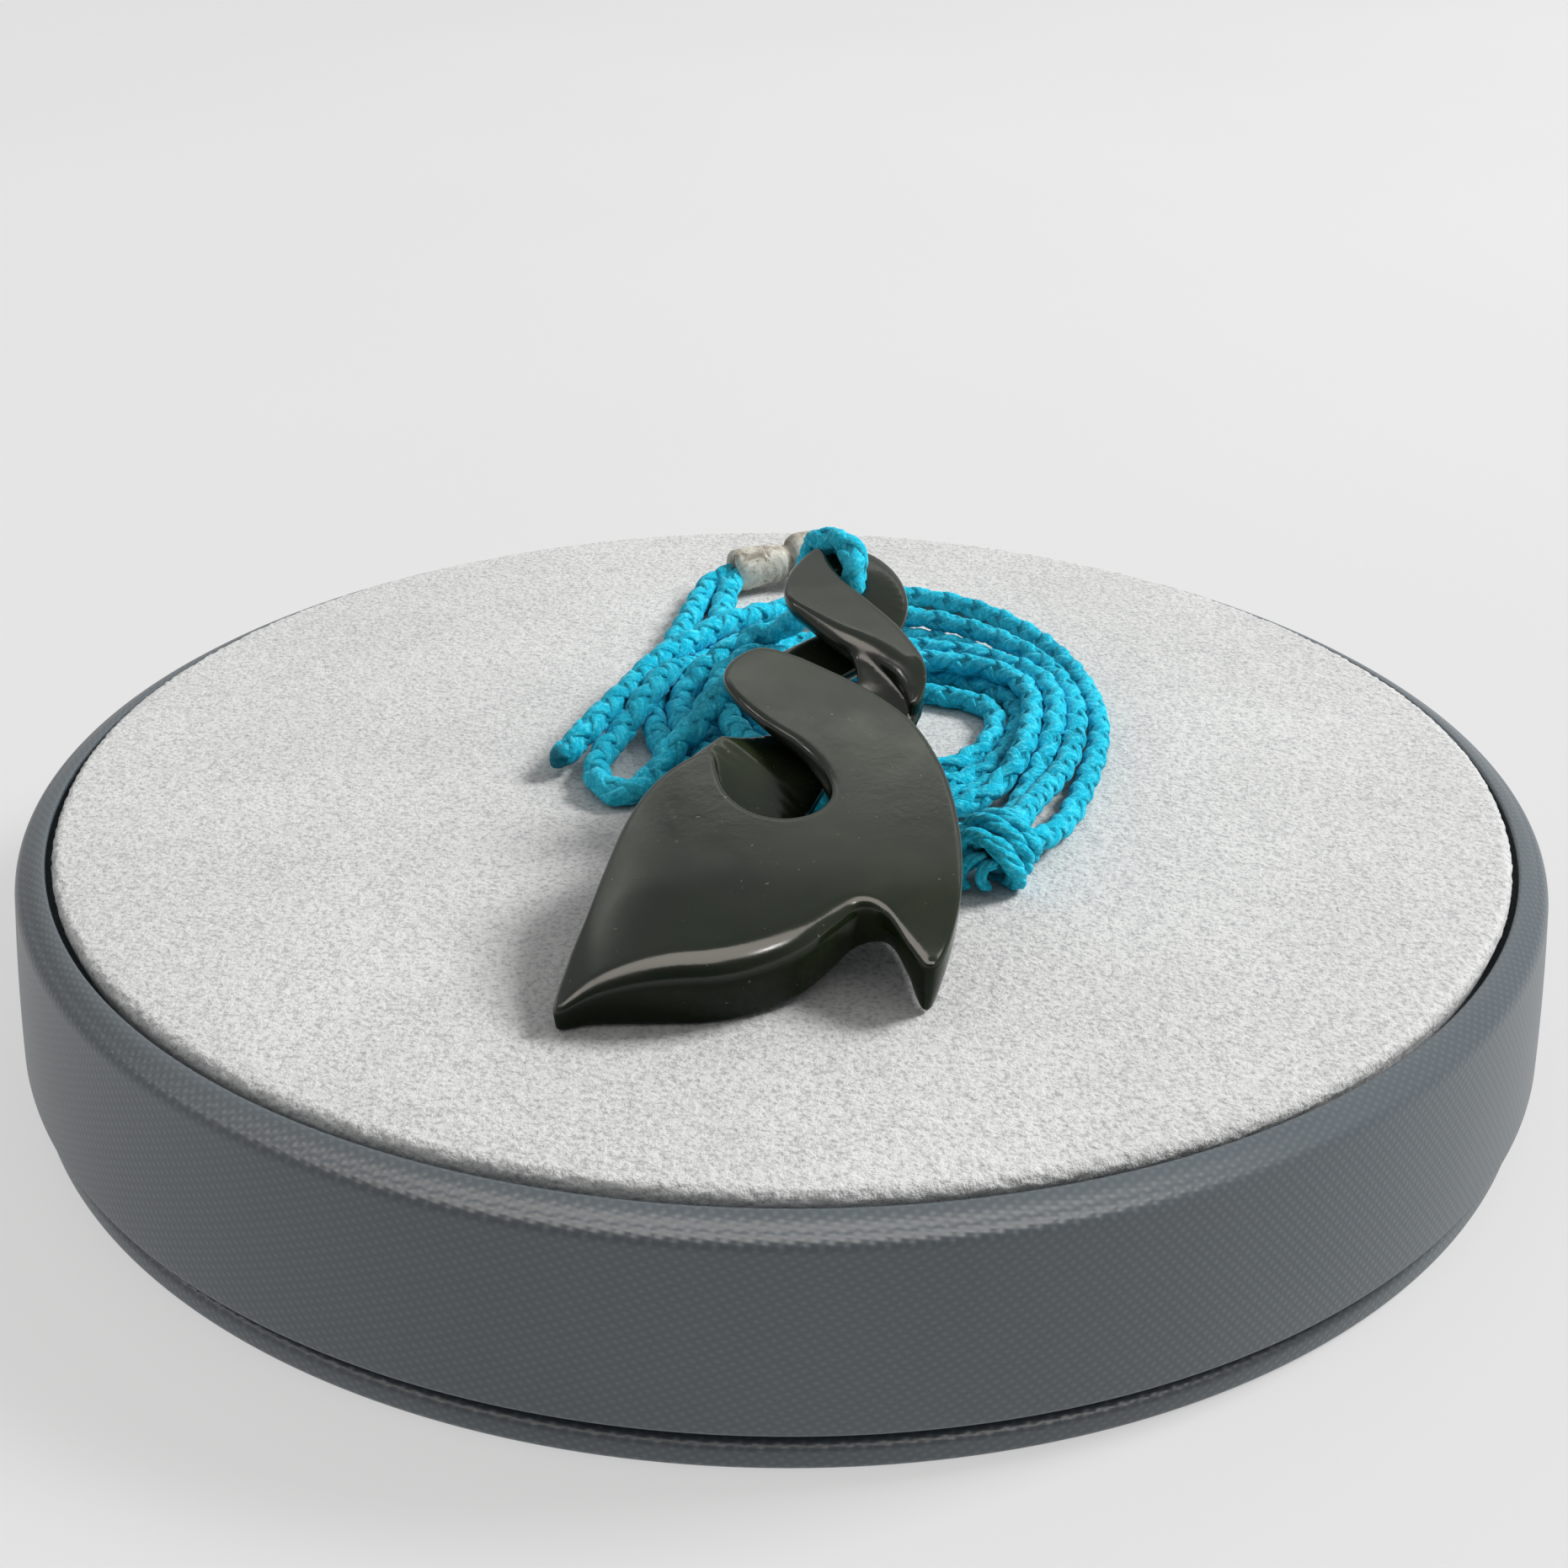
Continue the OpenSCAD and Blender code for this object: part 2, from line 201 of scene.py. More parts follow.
# Slope of the strand under the first opening, across and along, where it starts, and how near it
# comes to the face
TILT_ACROSS, TILT_ALONG, TILT_START = 0.72, 0.2, 0.6
UNDER_FACE = 0.3
LOWER_EDGE_R = 0.35
BLEND = 0.45
PEND_AT = (-3.3, -47.2)
PEND_TURN = math.radians(5)
LEAN = math.radians(12)
TIP_GAP = 0.2


def clamp01(x):
    return np.clip(x, 0, 1)


def ease(x):
    t = clamp01(x)
    return t * t * (3 - 2 * t)


def face_w(u, v):
    """Height of the body's face, lower towards the tail's edge and tips."""
    return (STONE_T - 0.5 * clamp01((11 - v) / 11) ** 2 - 4.5 * clamp01((-u - 3.4) / 12) ** 2
            - 1.1 * clamp01((8 - v) / 8) ** 2 * clamp01((u - 9) / 5))


def back_w(u, v):
    """Height of the body's back, which rises up the stone and is scooped out under the tail's fork."""
    scoop = np.exp(-((u - 12.8) / 2.6) ** 2 / 2 - ((v - 4.2) / 3.4) ** 2 / 2)
    return 4.4 * ease((v - 17) / 16) + 2.7 * scoop * clamp01(v / 1.5)


def leaf_face_w(u, v):
    return STONE_T - 1.4 * ease((41 - v) / 7) - 0.3 * ease((v - 53) / 8)


def leaf_back_w(u, v):
    return leaf_face_w(u, v) - LEAF_T


def nearest_on(line, u, v):
    """For points u, v: distance to a line of rows, and the row values there."""
    a, b = line[:-1], line[1:]
    d = b[:, :2] - a[:, :2]
    size = (d ** 2).sum(1)
    best = np.full(u.shape, 1e9)
    at = np.zeros(u.shape + (line.shape[1],))
    for i in range(len(a)):
        pu, pv = u - a[i, 0], v - a[i, 1]
        t = np.clip((pu * d[i, 0] + pv * d[i, 1]) / max(size[i], 1e-12), 0, 1)
        dist = (pu - t * d[i, 0]) ** 2 + (pv - t * d[i, 1]) ** 2
        closer = dist < best
        best = np.where(closer, dist, best)
        at[closer] = a[i] + t[closer][:, None] * (b[i] - a[i])
    return np.sqrt(best), at


def inside_outline(line, u, v):
    inside = np.zeros(u.shape, bool)
    for (x0, y0), (x1, y1) in zip(line[:-1, :2], line[1:, :2]):
        if y0 == y1:
            continue
        crosses = ((y0 > v) != (y1 > v)) & (u < (x1 - x0) * (v - y0) / (y1 - y0) + x0)
        inside ^= crosses
    return inside


def plane_data(u, v):
    """All that depends on the place in the plane alone: a plate's edge distance, or a strand's rows."""
    data = []
    for table in (OUTLINE, LEAF):
        line = closed_curve(table, ROW_STEPS)
        line = np.vstack([line, line[:1]])
        dist, at = nearest_on(line, u, v)
        data.append((np.where(inside_outline(line, u, v), -dist, dist), at[..., 2], at[..., 3]))
    for first, last in STRAND_PARTS:
        part = open_curve(STRAND, ROW_STEPS)[first * ROW_STEPS:(last - 1) * ROW_STEPS + 1]
        data.append(nearest_on(part, u, v))
    return data


def rounded_max(a, b, r):
    """The two surfaces' shared inside, with a round of radius r where they meet."""
    a, b = a + r, b + r
    return np.minimum(np.maximum(a, b), 0) + np.hypot(np.maximum(a, 0), np.maximum(b, 0)) - r


def plate_field(edge, undercut, edge_r, low, high, w):
    """How far outside a plate a point is, from its edge distance and its back's and face's heights."""
    rise = np.clip((w - low) / np.maximum(high - low, 0.1), 0, 1)
    side = edge + undercut * clamp01(1 - rise / 0.8) ** 2.2
    r = np.minimum(edge_r, 0.7 * np.maximum(high - low, 0.2))
    return rounded_max(rounded_max(side, w - high, r), low - w, LOWER_EDGE_R)


def strand_field(dist, at, u, v, w):
    """How far outside a strand a point is: a low crown over its rim, a rounder half below."""
    rim, half, deep = at[..., 2], at[..., 3], at[..., 4]
    tilt = TILT_ACROSS * (u - at[..., 0]) + TILT_ALONG * (v - at[..., 1]) - TILT_START
    rim = np.minimum(rim - clamp01((31 - at[..., 1]) / 4) * tilt, face_w(u, v) - CROWN - UNDER_FACE)
    up = w > rim
    tall = np.where(up, CROWN, deep)
    power = np.where(up, CROWN_POWER, HOLLOW_POWER)
    x = np.maximum(dist / half, 1e-3)
    y = np.maximum(np.abs(w - rim) / tall, 1e-3)
    g = (x ** power + y ** power) ** (1 / power)
    slope = np.hypot((x / g) ** (power - 1) / half, (y / g) ** (power - 1) / tall)
    return (g - 1) / slope


def smooth_min(a, b, k):
    """Both forms together, blended over k where they meet."""
    h = np.maximum(k - np.abs(a - b), 0) / k
    return np.minimum(a, b) - h * h * k / 4


def stone_field(u, v, w, data=None):
    """Below 0 in the stone, about the distance to it outside."""
    data = plane_data(u, v) if data is None else data
    body = plate_field(*data[0], back_w(u, v), face_w(u, v), w)
    leaf = plate_field(*data[1], leaf_back_w(u, v), leaf_face_w(u, v), w)
    field = smooth_min(body, leaf, BLEND)
    for dist, at in data[2:]:
        field = smooth_min(field, strand_field(dist, at, u, v, w), BLEND)
    return field


def stone_to_world(p):
    """From the stone's plane to the row's frame."""
    u, v, w = p[..., 0], p[..., 1], p[..., 2]
    y = v * math.cos(LEAN) - w * math.sin(LEAN)
    z = v * math.sin(LEAN) + w * math.cos(LEAN)
    return np.stack([PEND_AT[0] + u * math.cos(PEND_TURN) - y * math.sin(PEND_TURN),
                     PEND_AT[1] + u * math.sin(PEND_TURN) + y * math.cos(PEND_TURN),
                     SUEDE_TOP + TIP_GAP + z], axis=-1)


def world_to_stone(p):
    x, y, z = p[..., 0] - PEND_AT[0], p[..., 1] - PEND_AT[1], p[..., 2] - SUEDE_TOP - TIP_GAP
    u = x * math.cos(PEND_TURN) + y * math.sin(PEND_TURN)
    v = -x * math.sin(PEND_TURN) + y * math.cos(PEND_TURN)
    return np.stack([u, v * math.cos(LEAN) + z * math.sin(LEAN), -v * math.sin(LEAN) + z * math.cos(LEAN)],
                    axis=-1)


# The corners of a grid's cell
CORNERS = [(i, j, k) for i in (0, 1) for j in (0, 1) for k in (0, 1)]


def surface_net(field, low, step):
    """Quads through a field's zero, one corner in each cell that the surface crosses."""
    inside = field < 0
    nx, ny, nz = field.shape
    count = sum(inside[i:nx - 1 + i, j:ny - 1 + j, k:nz - 1 + k].astype(np.int8) for i, j, k in CORNERS)
    cells = np.argwhere((count > 0) & (count < 8))
    total, hits = np.zeros((len(cells), 3)), np.zeros(len(cells))
    for a in CORNERS:
        for axis in range(3):
            if a[axis]:
                continue
            b = tuple(a[i] + (i == axis) for i in range(3))
            fa = field[tuple((cells + a).T)]
            fb = field[tuple((cells + b).T)]
            cut = (fa < 0) != (fb < 0)
            t = np.where(cut, fa / np.where(cut, fa - fb, 1), 0)
            total += np.where(cut[:, None], np.array(a) + t[:, None] * (np.array(b) - np.array(a)), 0)
            hits += cut
    verts = low + step * (cells + total / hits[:, None])
    index = np.full((nx, ny, nz), -1)
    index[tuple(cells.T)] = np.arange(len(cells))
    quads = []
    units = np.eye(3, dtype=int)
    for axis in range(3):
        along, o1, o2 = units[axis], units[(axis + 1) % 3], units[(axis + 2) % 3]
        near = np.argwhere(inside[:nx - along[0], :ny - along[1], :nz - along[2]]
                           != inside[along[0]:, along[1]:, along[2]:])
        near = near[(near[:, (axis + 1) % 3] > 0) & (near[:, (axis + 2) % 3] > 0)]
        ring = np.stack([index[tuple((near + o).T)] for o in (-o1 - o2, -o2, 0 * o1, -o1)], axis=1)
        flip = ~inside[tuple(near.T)]
        ring[flip] = ring[flip][:, ::-1]
        quads.append(ring[(ring >= 0).all(axis=1)])
    return verts, np.vstack(quads)


STONE_STEP = 0.24
# The grid's box, in the stone's plane
STONE_LOW, STONE_HIGH = np.array([-17.5, -2.2, -1.2]), np.array([21.8, 64.6, 9.6])


def sampled(grid, at):
    """Values between a grid's corners."""
    cell = np.clip(np.floor(at).astype(int), 0, np.array(grid.shape[:3]) - 2)
    t = (at - cell)[..., None]
    total = 0
    for i, j, k in CORNERS:
        share = ((t[:, 0] if i else 1 - t[:, 0]) * (t[:, 1] if j else 1 - t[:, 1])
                 * (t[:, 2] if k else 1 - t[:, 2]))
        total = total + share * grid[cell[:, 0] + i, cell[:, 1] + j, cell[:, 2] + k]
    return total


def make_stone():
    """The stone's skin, moved onto the field's zero, with normals from the field's slope."""
    low = STONE_LOW
    size = np.ceil((STONE_HIGH - low) / STONE_STEP).astype(int) + 1
    u, v = np.meshgrid(low[0] + STONE_STEP * np.arange(size[0]), low[1] + STONE_STEP * np.arange(size[1]),
                       indexing="ij")
    data = plane_data(u, v)
    layers = [stone_field(u, v, np.full_like(u, low[2] + STONE_STEP * k), data) for k in range(size[2])]
    field = np.stack(layers, axis=-1)
    verts, quads = surface_net(field, low, STONE_STEP)
    slopes = np.stack(np.gradient(field, STONE_STEP), axis=-1)
    for _ in range(2):
        grad = sampled(slopes, (verts - low) / STONE_STEP)
        step = stone_field(*verts.T)[:, None] * grad / np.maximum((grad ** 2).sum(1), 0.2)[:, None]
        verts = verts - np.clip(step, -STONE_STEP / 2, STONE_STEP / 2)
    stone = mesh_object("jade_stone", stone_to_world(verts) * MM, quads)
    away = sampled(slopes, (verts - low) / STONE_STEP)
    away = stone_to_world(away / np.linalg.norm(away, axis=1)[:, None]) - stone_to_world(np.zeros(3))
    stone.data.normals_split_custom_set_from_vertices(away.tolist())
    return stone


# The cord's route: across, away, height of its middle over the suede

CORD_D = 2.3
# Middle of the coil
MIDDLE = (12, 12)
TOGGLE_FOLD = [[-5.0, 48.7, 2.7], [-4.1, 49.5, 2.8], [-4.6, 50.0, 2.8]]
RETURN = [
    [-6.7, 34.1, 1.2], [-7.8, 35.8, 1.2], [-7.6, 38, 1.2], [-7, 43, 1.2], [-6.8, 45.4, 1.5],
    [-6.3, 47.4, 2.3],
]
LEAD = [
    [-6.2, 49.6, 2.7], [-8.2, 48.0, 2.2], [-9.7, 44.8, 1.5], [-11, 37, 1.2], [-12.2, 30.6, 1.2],
    [-12.9, 27.4, 1.2], [-13, 24, 1.2], [-12.9, 19, 1.2],
]
FIRST_NEAR = [
    [9.5, -17.2, 1.2], [11.2, -19.2, 1.2], [13.2, -22.4, 1.4], [15, -24, 2.1], [16.6, -24, 2.7],
    [19.9, -23, 3.4], [22.8, -21, 3], [25, -17.8, 2.2], [26.7, -14.4, 1.5], [28.2, -10.6, 1.2],
    [30, -5, 1.2],
]
TO_LOOP = [
    [6, 45.2, 1.3], [0, 41.0, 1.2], [-5.2, 33, 1.2], [-8.2, 26.4, 1.4], [-10.4, 19.4, 2.8],
    [-12.8, 13, 3.5], [-14.9, 9.4, 2.9], [-16.9, 6.2, 1.6],
]
LOOP = [
    [-18.5, 2.6, 1.2], [-19, -2, 1.2], [-18, -7, 1.2], [-15.9, -9.6, 1.2], [-14, -8.4, 1.2],
    [-12.4, -5.2, 1.4], [-10.8, -2.6, 2.2], [-8.9, 0, 3.2], [-7.5, 3, 3.6], [-6.2, 6.6, 3.6],
]
UNDER_STONE = [
    [-3.8, 10.8, 3.7], [0.6, 12.2, 4.4], [4.6, 9.4, 4.8], [8.4, 2.6, 4.2], [11.4, -3.6, 3.2], [14.4, -7.6, 2],
    [17.2, -6.8, 1.5], [19.8, -3.6, 1.3], [22.2, 0.8, 1.2],
]
ARCH = [
    [13.5, 17.2, 1.6], [10.6, 17.6, 3.2], [8.6, 17.6, 5.4], [8, 17.4, 7.6], [7.9, 17.1, 8.8], [7.4, 15, 10.4],
    [6.8, 11.8, 11.8], [6.4, 8.8, 13.6], [6.6, 7.9, 16.2], [7.1, 8.8, 18.7], [6.6, 10.6, 20],
    [5.4, 12.4, 20.1], [3.7, 14.5, 19.4], [2.7, 15.9, 17.4], [2.6, 16.9, 14.6], [2.4, 17.7, 11.8],
    [1.3, 18.8, 9.0], [-1.0, 20, 7.0], [-4.4, 20.4, 5.4], [-7.2, 18.6, 3.8],
]
THIRD_NEAR = [
    [9, -15.6, 1.4], [13, -18.4, 2], [16.6, -21, 2.8], [19.4, -20.6, 3.4], [21.2, -17.6, 3.4],
    [22.4, -13.4, 2.6], [23.6, -8.6, 2], [25.2, -3, 1.9],
]
LAST_NEAR = [
    [8, -15.4, 3.4], [12.6, -18.4, 3.4], [16, -22, 4.2], [19, -23.4, 5], [21.6, -21, 5.2], [22.9, -17.2, 4.8],
    [24, -13.6, 4], [25.3, -10.4, 3.4], [26.7, -6.8, 2.8], [28.2, -3, 2.5], [29.4, 1.8, 2.4],
]
TAIL = [
    [6, 39.8, 2.4], [0.8, 36.6, 3.3], [-4.6, 31.8, 3.6], [-9.3, 25.4, 3.6], [-12.5, 19.5, 3.6],
    [-15.1, 13.9, 3.6], [-17.3, 9, 3.6], [-19.3, 4.2, 3.3], [-21.2, 0.4, 2.5], [-22.8, -2.6, 1.9],
]
# Each row is one turn's reach to the left, near, right and far, and its height there
TURNS = {
    "first": [-12.6, -17, 33.2, 46.2, 1.2, 1.2, 1.2, 1.3],
    "under": [-4.4, 3.5, 25.2, 22.8, 1.2, 1.2, 1.2, 1.2],
    "low": [-6.6, -9.5, 27.5, 33.4, 1.2, 1.2, 1.2, 1.2],
    "second": [-8.8, -12.6, 26.3, 21.6, 1.2, 1.3, 3.3, 3.4],
    "third": [-7.4, -13, 28.5, 25.2, 3.3, 3.2, 3.2, 3.4],
    "fourth": [-5.2, -3.2, 22.9, 16.9, 3.3, 1.2, 1.2, 1.2],
    "last": [-10.4, -15, 30.6, 34.4, 1.3, 3.2, 2.6, 3.2],
}
# Bearings in degrees round the coil's middle
LEFT, NEAR, RIGHT, FAR = 180, 270, 360, 450
SWEEP_STEP = 15

# Where the toggle holds the cord, and the knot's middle, both over the suede
TOGGLE_HOLD = [-4.6, 49.4, 2.8]
KNOT_OVER = [19.9, -23.0, 3.6]
# The plait's width as a share of the cord's diameter, what it gains where it lies flat, and the share
# that the toggle takes off it
FULL, SPREAD, SQUEEZE = 1.04, 0.2, 0.36

# How the turns settle: rounds, and in each one the share of an overlap that is pushed out, the pull
# back to the drawn route, the sinking, the longest move, the smoothing, and how often the stone pushes
SETTLE_ROUNDS = 120
PUSH, PULL, SINK, LONGEST, EVEN, STONE_EVERY = 0.4, 0.02, 0.004, 0.3, 0.5, 10
# Step over which the stone's slope is taken
SLOPE_STEP = 0.1
# Neighbours along the cord, in diameters, that don't push each other
SAME_BEND = 2.2
# Spacing of the points while they settle, and rounds of plain smoothing after it
ROUTE_STEP = 1.0
LAST_ROUNDS = 12


def sweep(turn, start, end, into=None):
    """Part of a turn, from one bearing to another. Past far, its left reach is the next turn's."""
    reach = TURNS[turn]
    left = TURNS[into][0] if into else reach[0]
    left_z = TURNS[into][4] if into else reach[4]
    points = []
    for bearing in np.arange(start, end + 1, SWEEP_STEP):
        a = math.radians(bearing)
        ca, sa = math.cos(a), math.sin(a)
        over = (reach[2] if ca > 0 else left) - MIDDLE[0]
        away = (reach[3] if sa > 0 else reach[1]) - MIDDLE[1]
        z = ca * ca * (reach[6] if ca > 0 else left_z) + sa * sa * (reach[7] if sa > 0 else reach[5])
        points.append([MIDDLE[0] + over * abs(ca), MIDDLE[1] + away * abs(sa), z])
    return points


def cord_route():
    return np.array(
        RETURN + TOGGLE_FOLD + LEAD + sweep("first", LEFT, NEAR - 15) + FIRST_NEAR
        + sweep("first", RIGHT - 15, FAR) + TO_LOOP + LOOP + UNDER_STONE
        + sweep("under", RIGHT, FAR) + sweep("under", FAR + 15, FAR + 75, "low")
        + sweep("low", LEFT, FAR) + sweep("low", FAR + 15, FAR + 75, "second")
        + sweep("second", LEFT, FAR) + sweep("second", FAR + 15, FAR + 75, "third")
        + sweep("third", LEFT, NEAR - 30) + THIRD_NEAR + sweep("third", RIGHT - 15, FAR)
        + sweep("third", FAR + 15, FAR + 75, "fourth")
        + sweep("fourth", LEFT, FAR - 15) + ARCH
        + sweep("last", LEFT, NEAR - 30) + LAST_NEAR + sweep("last", RIGHT - 15, FAR) + TAIL)


def fullness(points):
    """The plait is wider to the left and where it's bent over the stone, and tight in the toggle."""
    left = 1 - ease((points[:, 0] + 5) / 12)
    over = ease((points[:, 2] - SUEDE_TOP - 9) / 5)
    held = 1 - ease((np.linalg.norm(points - (OVER_SUEDE + TOGGLE_HOLD), axis=1) - 1.2) / 2)
    return (FULL + SPREAD * np.maximum(left, over)) * (1 - SQUEEZE * held)


def settle(points, held):
    """Turns that touch part from each other, keep off the stone and the suede, and stay smooth."""
    home = points.copy()
    step = np.linalg.norm(points[1] - points[0])
    apart = int(SAME_BEND * CORD_D / step)
    order = np.arange(len(points))
    far_enough = np.abs(order[:, None] - order[None]) > apart
    free = (~held)[:, None]
    thick = CORD_D * fullness(points + OVER_SUEDE)
    room = (thick[:, None] + thick[None]) / 2
    for turn in range(SETTLE_ROUNDS):
        gap = points[:, None] - points[None]
        dist = np.linalg.norm(gap, axis=2) + 1e-6
        short = np.where(far_enough, np.maximum(room - dist, 0), 0)
        push = (gap / dist[..., None] * short[..., None]).sum(1) * PUSH
        move = push + PULL * (home - points)
        move[:, 2] -= SINK
        smooth = np.zeros_like(points)
        smooth[2:-2] = ((points[1:-3] + points[3:-1]) * 2 / 3 - (points[:-4] + points[4:]) / 6
                        - points[2:-2])
        points = points + np.where(free, np.clip(move, -LONGEST, LONGEST) + EVEN * smooth, 0)
        if turn % STONE_EVERY == STONE_EVERY - 1:
            close = stone_field(*world_to_stone(points + OVER_SUEDE).T)
            for axis in np.eye(3):
                moved = world_to_stone(points + SLOPE_STEP * axis + OVER_SUEDE)
                slope = (stone_field(*moved.T) - close) / SLOPE_STEP
                points = points + np.where(free[:, 0] & (close < CORD_D / 2),
                                           (CORD_D / 2 - close) * slope, 0)[:, None] * axis
        points[:, 2] = np.maximum(points[:, 2], thick / 2 + 0.02)
    return points


def made_route():
    """The settled route. The toggle, the arch, the knot and the tail's tip keep their places."""
    line = spaced(open_curve(cord_route(), 8), ROUTE_STEP)
    held = np.zeros(len(line), bool)
    for fixed, reach in ((TOGGLE_FOLD, 3.0), (ARCH[3:18], 1.2), ([KNOT_OVER], 5.5), (TAIL[-4:], 1.0)):
        for p in fixed:
            held |= np.linalg.norm(line - np.array(p), axis=1) < reach
    line = settle(line, held)
    for _ in range(LAST_ROUNDS):
        line[1:-1] += np.where(held[1:-1, None], 0, 0.25 * (line[:-2] + line[2:] - 2 * line[1:-1]))
    line[:, 2] += SUEDE_TOP
    return spaced(open_curve(line, 3), RING_STEP)


def yarn_tube(line, frames, angle, radius, wide, thick, sides, start, fluff=0.0):
    """One strand that winds round a line, its faces, and how far out each corner lies."""
    side, up = frames
    out = np.cos(angle)[:, None] * side + np.sin(angle)[:, None] * up
    middle = line + radius[:, None] * out
    ahead = np.gradient(middle, axis=0)
    around = np.cross(ahead / np.linalg.norm(ahead, axis=1)[:, None], out)
    turn = np.arange(sides) * 2 * math.pi / sides + math.pi
    lumps = np.random.default_rng(start + 7).normal(size=(len(line), sides))
    lumps = 1 + fluff * (lumps + 0.6 * np.roll(lumps, 1, axis=0) + 0.6 * np.roll(lumps, -1, axis=0))
    ring = ((np.cos(turn) * lumps)[..., None] * (thick[:, None] * out)[:, None]
            + (np.sin(turn) * lumps)[..., None] * (wide[:, None] * around)[:, None])
    corners = middle[:, None] + ring
    depth = np.linalg.norm(corners - line[:, None], axis=2)
    return corners.reshape(-1, 3), ring_faces(len(line), sides, start), depth.ravel()


# The plait: length of one turn, a strand's distance from the middle, and how far it weaves in and out
BRAID_PITCH = 8.2
BRAID_R = 0.64
BRAID_WEAVE = 0.16
STRAND_WIDE = 0.78
STRAND_THICK = 0.43
STRAND_SIDES = 8
STRAND_FLUFF = 0.045
CORE_R = 0.82
TIP_LENGTH = 1.6
RING_STEP = 0.48
# Distances from the middle at which the plait's shade value is full and none; the lower the value, the darker
# the painted shade in the plait's crevices
PLAIT_SHALLOW, PLAIT_DEEP = 1.16, 0.62


def braid(line, scale):
    """Two strands each way, that pass over and under each other round a core, fused to a tip at the end."""
    frames = transported(line)
    run = np.concatenate([[0], np.cumsum(np.linalg.norm(np.diff(line, axis=0), axis=1))])
    phase = 2 * math.pi * run / BRAID_PITCH
    tip = clamp01((run[-1] - run) / TIP_LENGTH)
    slim = scale * (0.45 + 0.55 * np.sqrt(tip))
    verts, faces, depths = [], [], []
    for way in (1, -1):
        for half in (0, math.pi):
            radius = (BRAID_R + way * BRAID_WEAVE * np.cos(2 * phase)) * slim
            part, quads, depth = yarn_tube(line, frames, way * phase + half, radius, STRAND_WIDE * slim,
                                           STRAND_THICK * slim, STRAND_SIDES, sum(len(v) for v in verts),
                                           STRAND_FLUFF)
            verts.append(part)
            faces += quads
            # A corner's depth sets its painted shade: the deeper in the plait, the darker. Depths also shrink
            # towards the fused tip, so the tip comes out darker.
            depths.append(depth / scale.repeat(STRAND_SIDES) * (0.35 + 0.65 * tip).repeat(STRAND_SIDES))
    # The core lies deep and its depths are scaled by 0.95, so it is painted dark where it shows between the
    # strands.
    core, quads, depth = yarn_tube(line, frames, 0 * phase, 0 * phase, CORE_R * slim, CORE_R * slim,
                                   STRAND_SIDES, sum(len(v) for v in verts))
    return np.vstack(verts + [core]), faces + quads, np.concatenate(depths + [depth * 0.95])


def map_yarns(obj, rings, sides, step, depths, shallow, deep):
    """A map of metres along a yarn and turns about it, and a shade value that is 0 deep in the plait, which
    the material turns into painted shade in the crevices.
    """
    layer = obj.data.uv_layers.new(name="yarn")
    loops = np.zeros(len(obj.data.loops), dtype=int)
    obj.data.loops.foreach_get("vertex_index", loops)
    at = loops % (rings * sides)
    flat = np.stack([at // sides * step * MM + loops // (rings * sides) * 0.37, at % sides / sides], axis=1)
    layer.data.foreach_set("uv", flat.ravel())
    shade = obj.data.attributes.new("shade", "FLOAT", "POINT")
    shade.data.foreach_set("value", clamp01((depths - deep) / (shallow - deep)))


def make_cord():
    line = made_route()
    verts, faces, depths = braid(line, fullness(line))
    cord = mesh_object("braided_cord", verts * MM, faces)
    map_yarns(cord, len(line), STRAND_SIDES, RING_STEP, depths, PLAIT_SHALLOW, PLAIT_DEEP)
    return cord, line


cord_piece, cord_line = make_cord()


# The knot: a ball of wraps, each of three yarns, round a plain core

KNOT_AT = OVER_SUEDE + KNOT_OVER
KNOT_R = 3.0
KNOT_TURNS = 3.3
KNOT_AXIS = (-0.65, -0.7, -0.29)
KNOT_CORE = 2.5
# Radius of the wraps' strand, of the strand across them, and of the bights
KNOT_WRAP, KNOT_ACROSS, KNOT_BIGHT = 0.88, 0.8, 0.58
KNOT_YARNS = 3
KNOT_YARN_PITCH = 7
KNOT_YARN_SIDES = 8
KNOT_STEP = 0.15
KNOT_FLUFF = 0.035
# Distances from the knot's middle between which the shade value goes from none to full; corners nearer the
# middle, in the wraps' crevices, get painted shade.
KNOT_SHALLOW, KNOT_DEEP = 3.7, 2.8
# x, y, z about the knot's middle of a strand laid across the wraps, and of the bights at its lower left
KNOT_BITS = [
    [[-3.8, -0.7, -0.2], [-3.4, -1.1, 1.3], [-2.2, -1.9, 2.1], [-0.6, -3.0, 1.3], [0.6, -3.4, 0.0],
     [1.6, -2.9, -1.5], [1.6, -1.9, -2.7], [0.9, -0.8, -3.1]],
    [[-1.5, -2.3, 0.2], [-2.8, -2.6, -0.1], [-3.5, -2.6, -1.0], [-3.6, -2.6, -2.0], [-3.1, -2.4, -2.9]],
    [[-0.6, -2.8, -0.2], [-1.5, -3.3, -0.4], [-1.9, -3.4, -1.2], [-1.8, -3.1, -2.1], [-1.2, -2.6, -2.8]],
]


